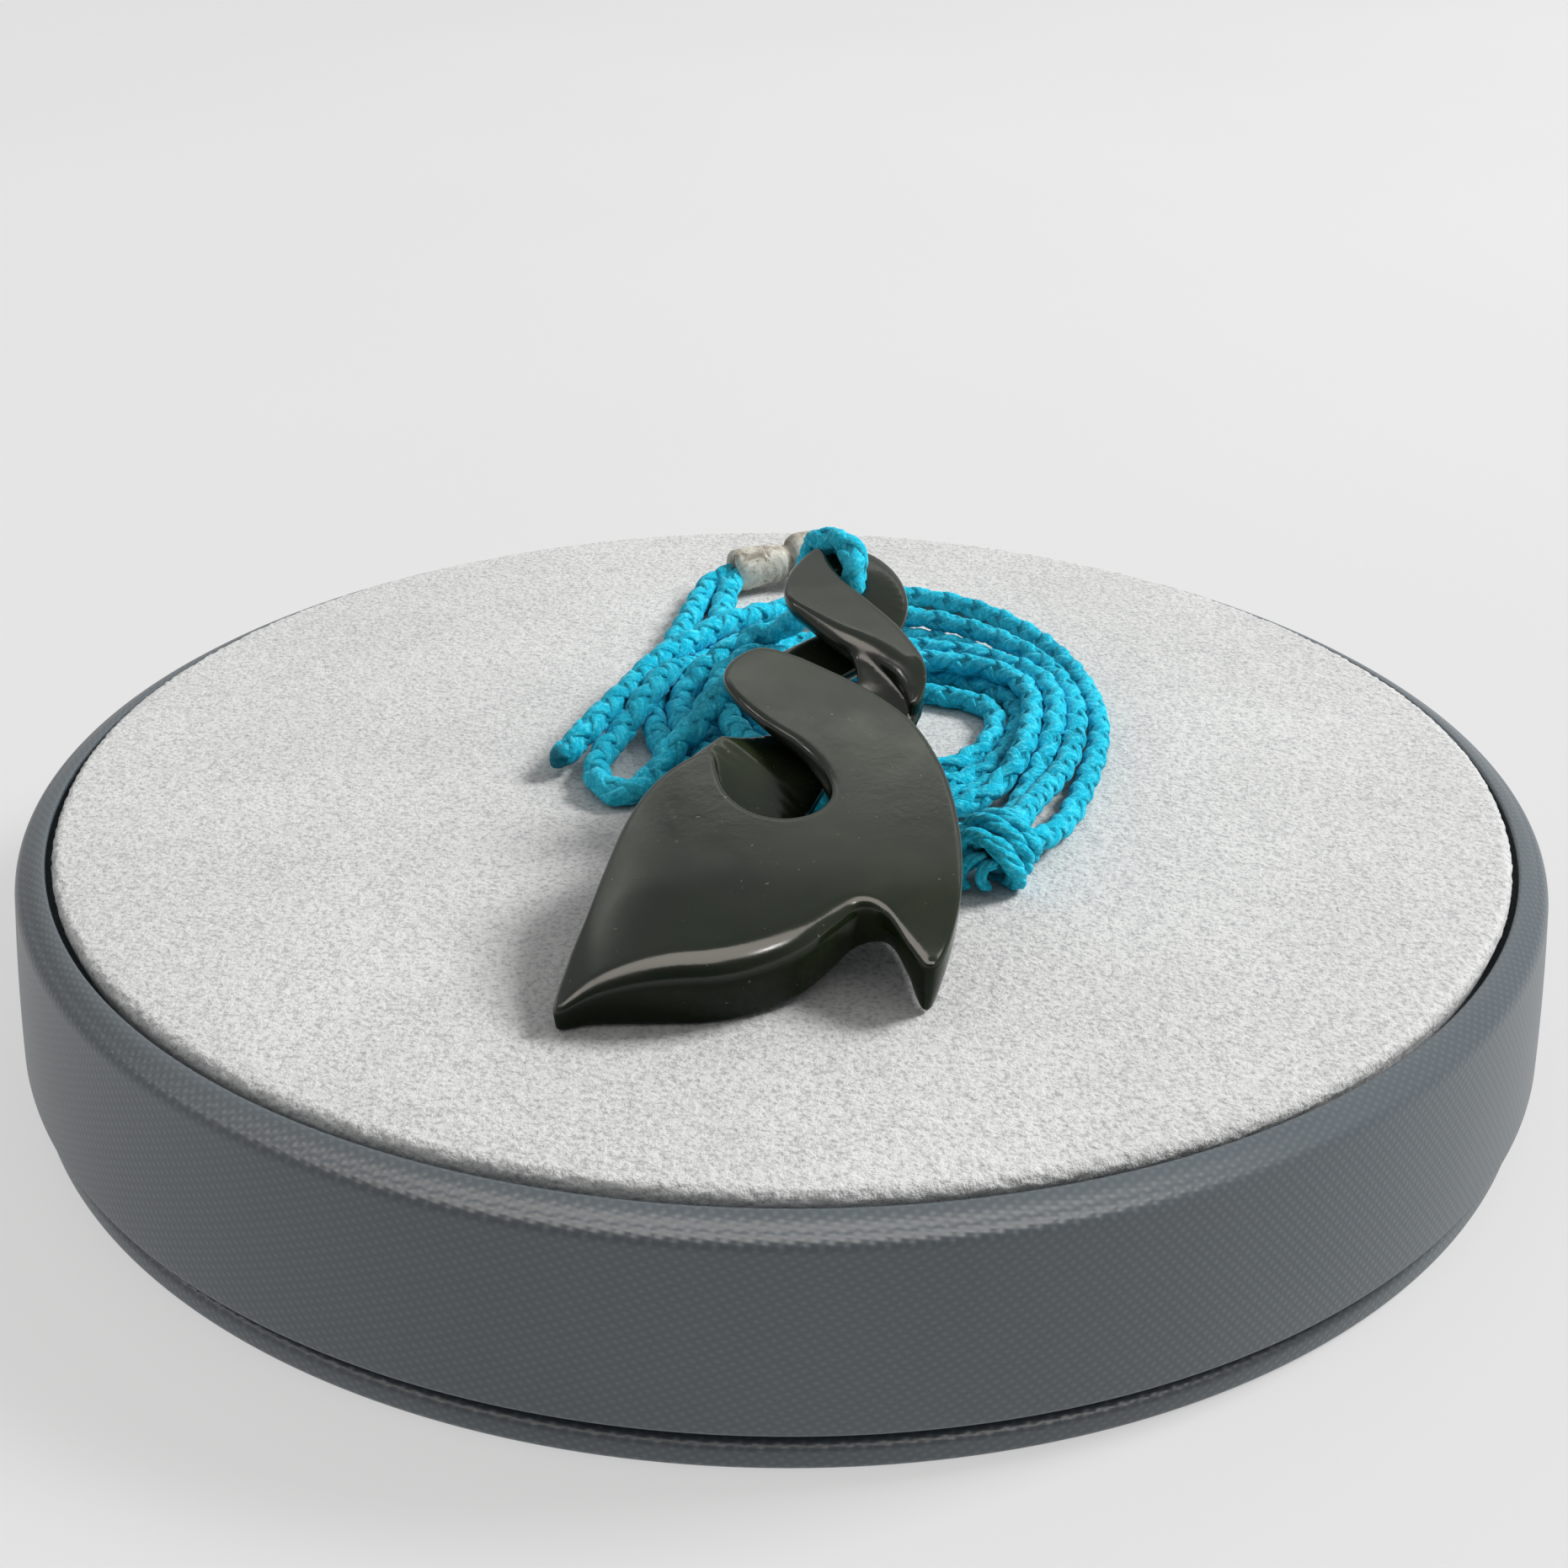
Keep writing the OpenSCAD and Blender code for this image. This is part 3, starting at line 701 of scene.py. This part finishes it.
def make_knot():
    """A ball of slanting wraps, with short bights at its lower left."""
    axis = Vector(KNOT_AXIS).normalized()
    across = Vector((0, 0, 1)).cross(axis).normalized()
    front = axis.cross(across).normalized()
    t = np.linspace(0, 1, 620)
    a = 2 * math.pi * KNOT_TURNS * t + 0.8
    lift = KNOT_R * (1.54 * t - 0.93) + 0.25 * np.sin(a + 0.6)
    ends = clamp01(1 - t / 0.08) + clamp01((t - 0.92) / 0.08)
    radius = np.sqrt(np.maximum(KNOT_R ** 2 - lift ** 2, 0.4)) * (1 + 0.05 * np.sin(a * 1.37) - 0.3 * ends)
    wraps = (lift[:, None] * np.array(axis) + (radius * np.cos(a))[:, None] * np.array(across)
             + (radius * np.sin(a))[:, None] * np.array(front))
    verts, faces = [], []
    bits = [open_curve(bit, 24) for bit in KNOT_BITS]
    for line, thick in zip([wraps] + bits, (KNOT_WRAP, KNOT_ACROSS, KNOT_BIGHT, KNOT_BIGHT)):
        line = spaced(line, KNOT_STEP) + KNOT_AT
        frames = transported(line)
        for yarn in range(KNOT_YARNS):
            angle = 2 * math.pi * (np.arange(len(line)) * KNOT_STEP / KNOT_YARN_PITCH + yarn / KNOT_YARNS)
            size = np.full(len(line), thick)
            part, quads, _ = yarn_tube(line, frames, angle, size * 0.45, size * 0.62, size * 0.55,
                                       KNOT_YARN_SIDES, sum(len(v) for v in verts), KNOT_FLUFF)
            verts.append(part)
            faces += quads
    reach = np.linspace(-0.98, 0.98, 24)
    line = KNOT_AT + KNOT_CORE * reach[:, None] * np.array(axis)
    size = KNOT_CORE * np.sqrt(1 - reach ** 2)
    part, quads, _ = yarn_tube(line, transported(line), 0 * size, 0 * size, size, size, 32,
                               sum(len(v) for v in verts))
    verts = np.vstack(verts + [part])
    faces += quads
    verts[:, 2] = np.maximum(verts[:, 2], SUEDE_TOP + REST_GAP)
    knot = mesh_object("wrapped_knot", verts * MM, faces)
    # Corners nearer the knot's middle get a lower shade value, and so painted shade in the crevices between
    # the wraps.
    map_yarns(knot, len(verts), KNOT_YARN_SIDES, KNOT_STEP, np.linalg.norm(verts - KNOT_AT, axis=1),
              KNOT_SHALLOW, KNOT_DEEP)
    return knot


knot_piece = make_knot()
stone_piece = make_stone()


# Lathed pieces of the stand

def lathe(name, profile, segments, wobble=None):
    """A profile of radius and height turned round the upright, and its map of run and rise in metres."""
    profile = np.asarray(profile, float)
    rise = np.concatenate([[0], np.cumsum(np.linalg.norm(np.diff(profile, axis=0), axis=1))])
    angles = np.linspace(0, 2 * math.pi, segments, endpoint=False)
    radius = np.repeat(profile[None, :, 0], segments, axis=0)
    height = np.repeat(profile[None, :, 1], segments, axis=0)
    if wobble is not None:
        radius, height = wobble(angles[:, None], radius, height)
    verts = np.stack([radius * np.cos(angles)[:, None], radius * np.sin(angles)[:, None], height], axis=-1)
    n = len(profile)
    faces = [(i * n + k, (i + 1) % segments * n + k, (i + 1) % segments * n + k + 1, i * n + k + 1)
             for i in range(segments) for k in range(n - 1)]
    obj = mesh_object(name, verts.reshape(-1, 3) * MM, faces)
    layer = obj.data.uv_layers.new(name="run")
    around = profile[:, 0].max() * 2 * math.pi
    loops = np.zeros(len(obj.data.loops), dtype=int)
    obj.data.loops.foreach_get("vertex_index", loops)
    turn = (loops // n).astype(float).reshape(-1, 4)
    turn[(turn.max(axis=1) - turn.min(axis=1) > 1)[:, None] & (turn == 0)] = segments
    flat = np.stack([turn.ravel() / segments * around * MM, rise[loops % n] * MM], axis=1)
    layer.data.foreach_set("uv", flat.ravel())
    return obj


STAND_SEGMENTS = 480
PAD_SEGMENTS = 1100
# Profiles end at this radius where the next piece covers them
HIDDEN_R = 70
WALL_R = 76.0
WALL_Z = 4.1
FLANGE_R = 75.1
FLANGE_H = 2.6
NECK_R = 73.5
BEND_R = 1.6
BEND_X, BEND_Z = 73.2, 20.05
SHOULDER_IN = (71.95, 22.3)
PAD_R = 71.35
PAD_BACK = 0.3
SEAT_Z = 20.0
# The pad's top as drawn, without the frame's rounding
PAD_TOP = 23.0


def arc(cx, cy, r, first, last, count):
    """Points on a circle from one bearing in degrees to another."""
    a = np.radians(np.linspace(first, last, count))
    return [[cx + r * math.cos(x), cy + r * math.sin(x)] for x in a]


def bowed(start, end, bow, count):
    """A line from start to end that swells by bow at its middle."""
    start, end = np.array(start, float), np.array(end, float)
    along = end - start
    out = np.array([-along[1], along[0]]) / np.linalg.norm(along)
    return [list(start + along * t - out * bow * 4 * t * (1 - t)) for t in np.linspace(0, 1, count)]


def make_rim():
    wall = bowed((WALL_R, WALL_Z + 0.5), (BEND_X + BEND_R, BEND_Z), 0.12, 18)
    shoulder = bowed((BEND_X + BEND_R * math.cos(1.25), BEND_Z + BEND_R * math.sin(1.25)), SHOULDER_IN,
                     0.14, 10)
    profile = ([[HIDDEN_R, WALL_Z], [WALL_R - 0.6, WALL_Z]]
               + arc(WALL_R - 0.5, WALL_Z + 0.5, 0.5, -80, -10, 5) + wall
               + arc(BEND_X, BEND_Z, BEND_R, 8, 66, 8) + shoulder
               + [[SHOULDER_IN[0] - 0.1, SHOULDER_IN[1] - 0.25], [72.0, 21.4], [72.0, SEAT_Z],
                  [HIDDEN_R, SEAT_Z]])
    return lathe("padded_rim", profile, STAND_SEGMENTS)


def make_flange():
    profile = ([[0.01, 0.0], [FLANGE_R - 0.9, 0.0]] + arc(FLANGE_R - 0.8, 0.8, 0.8, -80, 0, 7)
               + arc(FLANGE_R - 0.9, FLANGE_H - 0.9, 0.9, 5, 90, 8)
               + [[NECK_R, FLANGE_H], [NECK_R, WALL_Z], [HIDDEN_R, WALL_Z]])
    return lathe("leatherette_flange", profile, STAND_SEGMENTS)


def make_pad():
    skirt = [[HIDDEN_R, SEAT_Z], [PAD_R - 0.5, SEAT_Z], [PAD_R - 0.3, 20.6], [PAD_R - 0.15, 21.2]]
    edge = arc(PAD_R - 1.0, PAD_TOP - 1.0, 1.0, -18, 90, 16)
    top = [[r, PAD_TOP] for r in (PAD_R - 1.3, PAD_R - 1.6, PAD_R - 2.0, PAD_R - 2.6, PAD_R - 3.4,
                                  66, 58, 46, 30, 12, 0.01)]

    def wobble(angle, radius, height):
        x, y = radius * np.cos(angle), radius * np.sin(angle)
        near_edge = clamp01((radius - 67.5) / 3.5) * clamp01((height - 20.9) / 0.6)
        fuzz = np.array([[noise.noise(Vector((a * 1.9, b * 1.9, c * 1.9))) for a, b, c in zip(*row)]
                         for row in zip(x, y, height)])
        radius = radius + near_edge * (0.13 * fuzz + 0.05 * np.sin(5 * angle + 1) + 0.04 * np.sin(11 * angle))
        return radius, np.minimum(height + near_edge * 0.1 * (fuzz - 0.4), PAD_TOP)

    pad = lathe("suede_top", skirt + edge + top, PAD_SEGMENTS, wobble)
    pad.data.transform(Matrix.Translation((0, PAD_BACK * MM, 0)))
    return pad


rim_piece = make_rim()
flange_piece = make_flange()
pad_piece = make_pad()


# The bone toggle lies on its side behind the stone

TOGGLE_LEN = 12
TOGGLE_R = 3.2
TOGGLE_AT = (-6.2, 49.2, PAD_TOP + REST_GAP + 0.89 * TOGGLE_R)
# Degrees
TOGGLE_BEARING = 25
TOGGLE_DROP = 2
TOGGLE_SIDES = 56
TOGGLE_STEP = 0.22
# Share of the length at which the groove lies
GROOVE_AT = 0.59
# Share of the length, and radius there as a share of TOGGLE_R
TOGGLE_SHAPE = [
    [0, 0.45], [0.0, 0.7], [0.03, 0.79], [0.1, 0.83], [0.3, 0.79], [0.44, 0.74], [0.51, 0.72], [0.54, 0.62],
    [0.62, 0.62], [0.65, 0.86], [0.7, 0.96], [0.78, 1], [0.93, 0.97], [0.98, 0.9], [1, 0.8], [1, 0.45],
]


def make_toggle():
    rows = spaced(np.array([[t * TOGGLE_LEN, r * TOGGLE_R] for t, r in TOGGLE_SHAPE]), TOGGLE_STEP)
    verts = []
    for along, radius in rows:
        for k in range(TOGGLE_SIDES):
            a = 2 * math.pi * k / TOGGLE_SIDES
            p = Vector((along * 0.5, math.cos(a) * 1.6, math.sin(a) * 1.6))
            lump = 0.1 * noise.noise(p * 0.8) + 0.05 * noise.noise(p * 2.4)
            r = radius * (1 - 0.03 + 0.3 * lump)
            verts.append((along, r * math.cos(a), r * math.sin(a)))
    verts = np.array(verts)
    turn = (Matrix.Rotation(math.radians(TOGGLE_BEARING), 3, "Z")
            @ Matrix.Rotation(math.radians(-TOGGLE_DROP), 3, "Y"))
    verts = verts @ np.array(turn).T + np.array(TOGGLE_AT)
    toggle = mesh_object("carved_toggle", verts * MM, ring_faces(len(rows), TOGGLE_SIDES))
    shade = toggle.data.attributes.new("groove", "FLOAT", "POINT")
    beside = clamp01(1 - np.abs(rows[:, 0] / TOGGLE_LEN - GROOVE_AT) / 0.09)
    depth = clamp01((0.8 - rows[:, 1] / TOGGLE_R) / 0.1) * beside
    shade.data.foreach_set("value", np.repeat(depth, TOGGLE_SIDES))
    return toggle


toggle_piece = make_toggle()


# Materials

# A Mix node's colour sockets
MIX_FACTOR, MIX_A, MIX_B, MIX_RESULT = 0, 6, 7, 2


def set_stops(ramp, stops):
    """Places and colours of a colour ramp. A single number is a grey."""
    while len(ramp.elements) < len(stops):
        ramp.elements.new(0.5)
    for element, (at, colour) in zip(ramp.elements, stops):
        element.position = at
        element.color = (*colour, 1) if hasattr(colour, "__len__") else (colour, colour, colour, 1)


class Nodes:
    """Short names for building a material's nodes."""

    def __init__(self, name):
        self.material = bpy.data.materials.new(name)
        self.material.use_nodes = True
        self.tree = self.material.node_tree
        self.shader = self.tree.nodes["Principled BSDF"]

    def add(self, kind):
        return self.tree.nodes.new(kind)

    def join(self, a, b):
        self.tree.links.new(a, b)

    def noise(self, scale, detail=4, rough=0.5, vector=None, distortion=0.0):
        node = self.add("ShaderNodeTexNoise")
        node.inputs["Scale"].default_value = scale
        node.inputs["Detail"].default_value = detail
        node.inputs["Roughness"].default_value = rough
        node.inputs["Distortion"].default_value = distortion
        self.join(vector or self.add("ShaderNodeTexCoord").outputs["Object"], node.inputs["Vector"])
        return node.outputs["Fac"]

    def ramp(self, source, stops):
        node = self.add("ShaderNodeValToRGB")
        set_stops(node.color_ramp, stops)
        self.join(source, node.inputs["Fac"])
        return node.outputs["Color"]

    def fill(self, socket, value):
        if isinstance(value, bpy.types.NodeSocket):
            self.join(value, socket)
        else:
            socket.default_value = (*value, 1) if hasattr(value, "__len__") and len(value) == 3 else value

    def mix(self, factor, a, b):
        node = self.add("ShaderNodeMix")
        node.data_type = "RGBA"
        self.fill(node.inputs[MIX_FACTOR], factor)
        self.fill(node.inputs[MIX_A], a)
        self.fill(node.inputs[MIX_B], b)
        return node.outputs[MIX_RESULT]

    def math(self, operation, a, b=0.0):
        node = self.add("ShaderNodeMath")
        node.operation = operation
        self.fill(node.inputs[0], a)
        self.fill(node.inputs[1], b)
        return node.outputs[0]

    def bump(self, height, strength, distance, normal=None):
        node = self.add("ShaderNodeBump")
        node.inputs["Strength"].default_value = strength
        node.inputs["Distance"].default_value = distance
        self.join(height, node.inputs["Height"])
        if normal is not None:
            self.join(normal, node.inputs["Normal"])
        return node.outputs["Normal"]

    def set(self, **values):
        for key, value in values.items():
            self.fill(self.shader.inputs[key.replace("_", " ")], value)
        return self.material


def jade_material():
    m = Nodes("jade")
    cloud = m.noise(60, 6, 0.6, distortion=0.6)
    base = m.ramp(cloud, [(0.3, (0.004, 0.008, 0.003)), (0.55, (0.009, 0.015, 0.006)),
                          (0.75, (0.02, 0.028, 0.011))])
    specks = m.ramp(m.noise(1700, 2, 0.5), [(0.735, 0.0), (0.765, 1.0)])
    base = m.mix(m.math("MULTIPLY", specks, 0.3), base, (0.3, 0.32, 0.27))
    rough = m.ramp(m.noise(90, 5, 0.65), [(0.3, 0.12), (0.7, 0.25)])
    wave = m.bump(m.noise(75, 2, 0.5), 0.14, 0.0006)
    fine = m.bump(m.noise(1500, 3, 0.6), 0.06, 0.0001, wave)
    # Faces that look sideways or down get a lower specular level, so the stone's walls reflect less of the
    # lit suede and look darker: painted shade in place of the shade they would reflect.
    facing = m.add("ShaderNodeSeparateXYZ")
    m.join(m.add("ShaderNodeNewGeometry").outputs["Normal"], facing.inputs["Vector"])
    gloss = m.ramp(facing.outputs["Z"], [(0.0, 0.12), (0.28, 0.5)])
    m.shader.inputs["Subsurface Radius"].default_value = (0.3, 1.0, 0.4)
    return m.set(Base_Color=base, Roughness=rough, Normal=fine, IOR=1.5, Specular_IOR_Level=gloss,
                 Subsurface_Weight=0.05, Subsurface_Scale=0.001)


def cord_material():
    m = Nodes("turquoise_cord")
    coords = m.add("ShaderNodeUVMap")
    coords.uv_map = "yarn"
    stretch = m.add("ShaderNodeMapping")
    stretch.inputs["Scale"].default_value = (900, 9, 1)
    m.join(coords.outputs["UV"], stretch.inputs["Vector"])
    strands = m.noise(1.0, 3, 0.65, stretch.outputs["Vector"])
    fuzz = m.noise(2600, 3, 0.7)
    fibre = m.math("ADD", m.math("MULTIPLY", strands, 0.5), m.math("MULTIPLY", fuzz, 0.5))
    base = m.ramp(m.noise(170, 3, 0.6), [(0.3, (0.0, 0.36, 0.53)), (0.5, (0.004, 0.5, 0.7)),
                                         (0.7, (0.02, 0.6, 0.83))])
    # Painted highlight and painted shade: the fibres' high spots, which the bump also raises, are mixed
    # towards bright cyan and their low spots towards dark teal.
    base = m.mix(m.ramp(fibre, [(0.36, 0.6), (0.5, 0.0)]), base, (0.0, 0.19, 0.3))
    base = m.mix(m.ramp(fibre, [(0.5, 0.0), (0.64, 0.7)]), base, (0.13, 0.85, 1.0))
    # Painted shade: where the shade value is low, deep in the plait's crevices, the colour is mixed towards a
    # dark teal.
    shade = m.add("ShaderNodeAttribute")
    shade.attribute_name = "shade"
    base = m.mix(m.ramp(shade.outputs["Fac"], [(0.0, 0.85), (0.8, 0.0)]), base, (0.0, 0.1, 0.15))
    return m.set(Base_Color=base, Roughness=0.7, Normal=m.bump(fibre, 0.8, 0.0003),
                 Sheen_Weight=0.08, Sheen_Roughness=0.4, Specular_IOR_Level=0.12)


def suede_material():
    m = Nodes("suede")
    nap = m.noise(2100, 3, 0.7)
    patch = m.noise(40, 4, 0.55, distortion=0.3)
    stroke = m.noise(700, 3, 0.6, distortion=0.5)
    base = m.ramp(patch, [(0.3, (0.61, 0.613, 0.6)), (0.5, (0.66, 0.664, 0.65)), (0.7, (0.71, 0.715, 0.7))])
    base = m.mix(m.ramp(stroke, [(0.36, 0.2), (0.54, 0.0)]), base, (0.34, 0.34, 0.35))
    base = m.mix(m.ramp(nap, [(0.34, 0.55), (0.5, 0.0)]), base, (0.22, 0.22, 0.235))
    base = m.mix(m.ramp(nap, [(0.52, 0.0), (0.66, 0.5)]), base, (0.8, 0.8, 0.78))
    normal = m.bump(nap, 0.7, 0.0003, m.bump(stroke, 0.5, 0.0004))
    return m.set(Base_Color=base, Roughness=0.95, Normal=normal, Specular_IOR_Level=0.12,
                 Sheen_Weight=0.25, Sheen_Roughness=0.6)


# The leatherette's weave: its pitch in metres, the slant of its rows, and how far the others are turned
WEAVE = 0.00068
ROW_TILT = math.radians(25)
CROSSING = math.radians(75)


def leatherette_material():
    m = Nodes("leatherette")
    coords = m.add("ShaderNodeUVMap")
    coords.uv_map = "run"
    parts = m.add("ShaderNodeSeparateXYZ")
    m.join(coords.outputs["UV"], parts.inputs["Vector"])
    run, rise = parts.outputs["X"], parts.outputs["Y"]

    def wave(tilt, pitch):
        across = m.math("SUBTRACT", m.math("MULTIPLY", rise, math.cos(tilt)),
                        m.math("MULTIPLY", run, math.sin(tilt)))
        return m.math("SINE", m.math("MULTIPLY", across, 2 * math.pi / pitch))

    rows = m.math("ADD", m.math("MULTIPLY", wave(ROW_TILT, WEAVE), 0.5), 0.5)
    cross = m.math("ADD", m.math("MULTIPLY", wave(ROW_TILT - CROSSING, WEAVE * 1.1), 0.5), 0.5)
    dots = m.math("MULTIPLY", rows, cross)
    pores = m.noise(1500, 3, 0.6)
    height = m.math("ADD", dots, m.math("MULTIPLY", pores, 0.5))
    shade = m.ramp(m.noise(30, 3, 0.5), [(0.3, (0.08, 0.097, 0.11)), (0.7, (0.094, 0.112, 0.126))])
    base = m.mix(m.math("MULTIPLY", dots, 0.22), shade, (0.22, 0.26, 0.275))
    return m.set(Base_Color=base, Roughness=0.38, Normal=m.bump(height, 0.35, 0.00008),
                 Specular_IOR_Level=0.5)


def bone_material():
    m = Nodes("bone")
    mottle = m.noise(420, 6, 0.65, distortion=0.8)
    base = m.ramp(mottle, [(0.34, (0.2, 0.18, 0.13)), (0.48, (0.5, 0.475, 0.4)), (0.64, (0.76, 0.74, 0.66))])
    spots = m.noise(260, 4, 0.7, distortion=1.2)
    base = m.mix(m.ramp(spots, [(0.37, 0.8), (0.47, 0.0)]), base, (0.12, 0.085, 0.05))
    groove = m.add("ShaderNodeAttribute")
    groove.attribute_name = "groove"
    worn = m.math("MULTIPLY", groove.outputs["Fac"], m.ramp(m.noise(330, 4, 0.7), [(0.36, 0.35), (0.6, 1.0)]))
    base = m.mix(worn, base, (0.09, 0.065, 0.035))
    normal = m.bump(mottle, 0.6, 0.0004)
    return m.set(Base_Color=base, Roughness=0.6, Normal=normal)


def floor_material():
    m = Nodes("pale_floor")
    base = m.ramp(m.noise(3, 3, 0.5), [(0.3, (0.19, 0.19, 0.192)), (0.7, (0.21, 0.21, 0.212))])
    return m.set(Base_Color=base, Roughness=0.7, Emission_Color=(1, 1, 1), Emission_Strength=0.52)


def dress(obj, material):
    obj.data.materials.clear()
    obj.data.materials.append(material)


JADE, CORD, SUEDE, LEATHER, BONE = (jade_material(), cord_material(), suede_material(),
                                    leatherette_material(), bone_material())


# Each piece gets its material, rides on the one body and stands for its solids

CORD_NODES = ["cord_coil", "cord_arch", "cord_toggle_lead", "cord_toggle_return", "cord_tail", "cord_loop",
              "cord_to_knot", "cord_from_knot"]
for piece, material, slot, nodes in (
        (stone_piece, JADE, "jade", ["twist_pendant"]), (cord_piece, CORD, "cord", CORD_NODES),
        (knot_piece, CORD, "cord", ["ball_knot"]), (pad_piece, SUEDE, "suede", ["suede_pad"]),
        (rim_piece, LEATHER, "leatherette", ["stand_rim"]),
        (flange_piece, LEATHER, "leatherette", ["stand_flange"]),
        (toggle_piece, BONE, "bone", ["bone_toggle"])):
    dress(piece, material)
    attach(piece, "root")
    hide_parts(*nodes)


# Floor, backdrop light and lamps, in metres

def make_floor():
    size = 6.0
    floor = mesh_object("floor", [(-size, -size, 0), (size, -size, 0), (size, size, 0), (-size, size, 0)],
                        [(0, 1, 2, 3)], smooth=False)
    dress(floor, floor_material())


def area_light(name, at, look, size, radiance, colour=(1, 1, 1), diffuse=True, glossy=True):
    """A rectangular lamp by its brightness, seen by matt surfaces, by reflections, or by both."""
    data = bpy.data.lights.new(name, "AREA")
    data.shape = "RECTANGLE"
    data.size, data.size_y = size
    data.energy = radiance * math.pi * size[0] * size[1]
    data.color = colour
    lamp = bpy.data.objects.new(name, data)
    lamp.location = at
    lamp.rotation_euler = (Vector(look) - Vector(at)).to_track_quat("-Z", "Y").to_euler()
    lamp.visible_diffuse = diffuse
    lamp.visible_glossy = glossy
    bpy.context.scene.collection.objects.link(lamp)


def over_stand(bearing, height, distance):
    """A place by degrees round from the right, and up from the table, in metres."""
    a, h = math.radians(bearing), math.radians(height)
    return (distance * math.cos(a) * math.cos(h), distance * math.sin(a) * math.cos(h),
            distance * math.sin(h))


# Share of the way from the far side to the near one, and brightness there
SKY = [(0.0, (0.95, 0.95, 0.95)), (0.1, (0.92, 0.92, 0.93)), (0.35, (0.92, 0.92, 0.94)),
       (0.65, (0.98, 0.98, 0.98)), (0.88, (0.4, 0.4, 0.4)), (1.0, (0.2, 0.2, 0.21))]
SKY_STRENGTH = 0.5


def make_world():
    """A sky that darkens from the far side to the near one."""
    world = bpy.data.worlds.new("studio")
    world.use_nodes = True
    bpy.context.scene.world = world
    tree = world.node_tree
    coords = tree.nodes.new("ShaderNodeTexCoord")
    split = tree.nodes.new("ShaderNodeSeparateXYZ")
    tree.links.new(coords.outputs["Generated"], split.inputs["Vector"])
    share = tree.nodes.new("ShaderNodeMath")
    share.operation = "MULTIPLY_ADD"
    share.inputs[1].default_value = -0.5
    share.inputs[2].default_value = 0.5
    tree.links.new(split.outputs["Y"], share.inputs[0])
    ramp = tree.nodes.new("ShaderNodeValToRGB")
    set_stops(ramp.color_ramp, SKY)
    tree.links.new(share.outputs[0], ramp.inputs["Fac"])
    back = tree.nodes["Background"]
    tree.links.new(ramp.outputs["Color"], back.inputs["Color"])
    back.inputs["Strength"].default_value = SKY_STRENGTH


make_floor()
make_world()
STAND_TOP = (0, 0, 0.025)
# The key lights matt surfaces alone, and the panels and windows show in reflections alone
area_light("key", over_stand(18, 41, 1.8), STAND_TOP, (0.56, 0.56), 36.0, glossy=False)
area_light("far_panel", over_stand(90, 35, 1.4), STAND_TOP, (2.4, 0.78), 0.32, (0.99, 1, 0.92), diffuse=False)
area_light("far_strip", over_stand(90, 49.8, 1.38), STAND_TOP, (2.4, 0.07), 2.5, (0.99, 1, 0.9),
           diffuse=False)
area_light("warm_panel", over_stand(262, 66, 1.2), STAND_TOP, (2.2, 0.8), 4.6, (1, 0.92, 0.84), diffuse=False)
area_light("small_window", over_stand(312, 42, 1.0), STAND_TOP, (0.07, 0.09), 45, diffuse=False)
area_light("side_window", over_stand(180, 33, 1.0), STAND_TOP, (0.06, 0.1), 30, diffuse=False)
bpy.context.scene.view_settings.view_transform = "Standard"
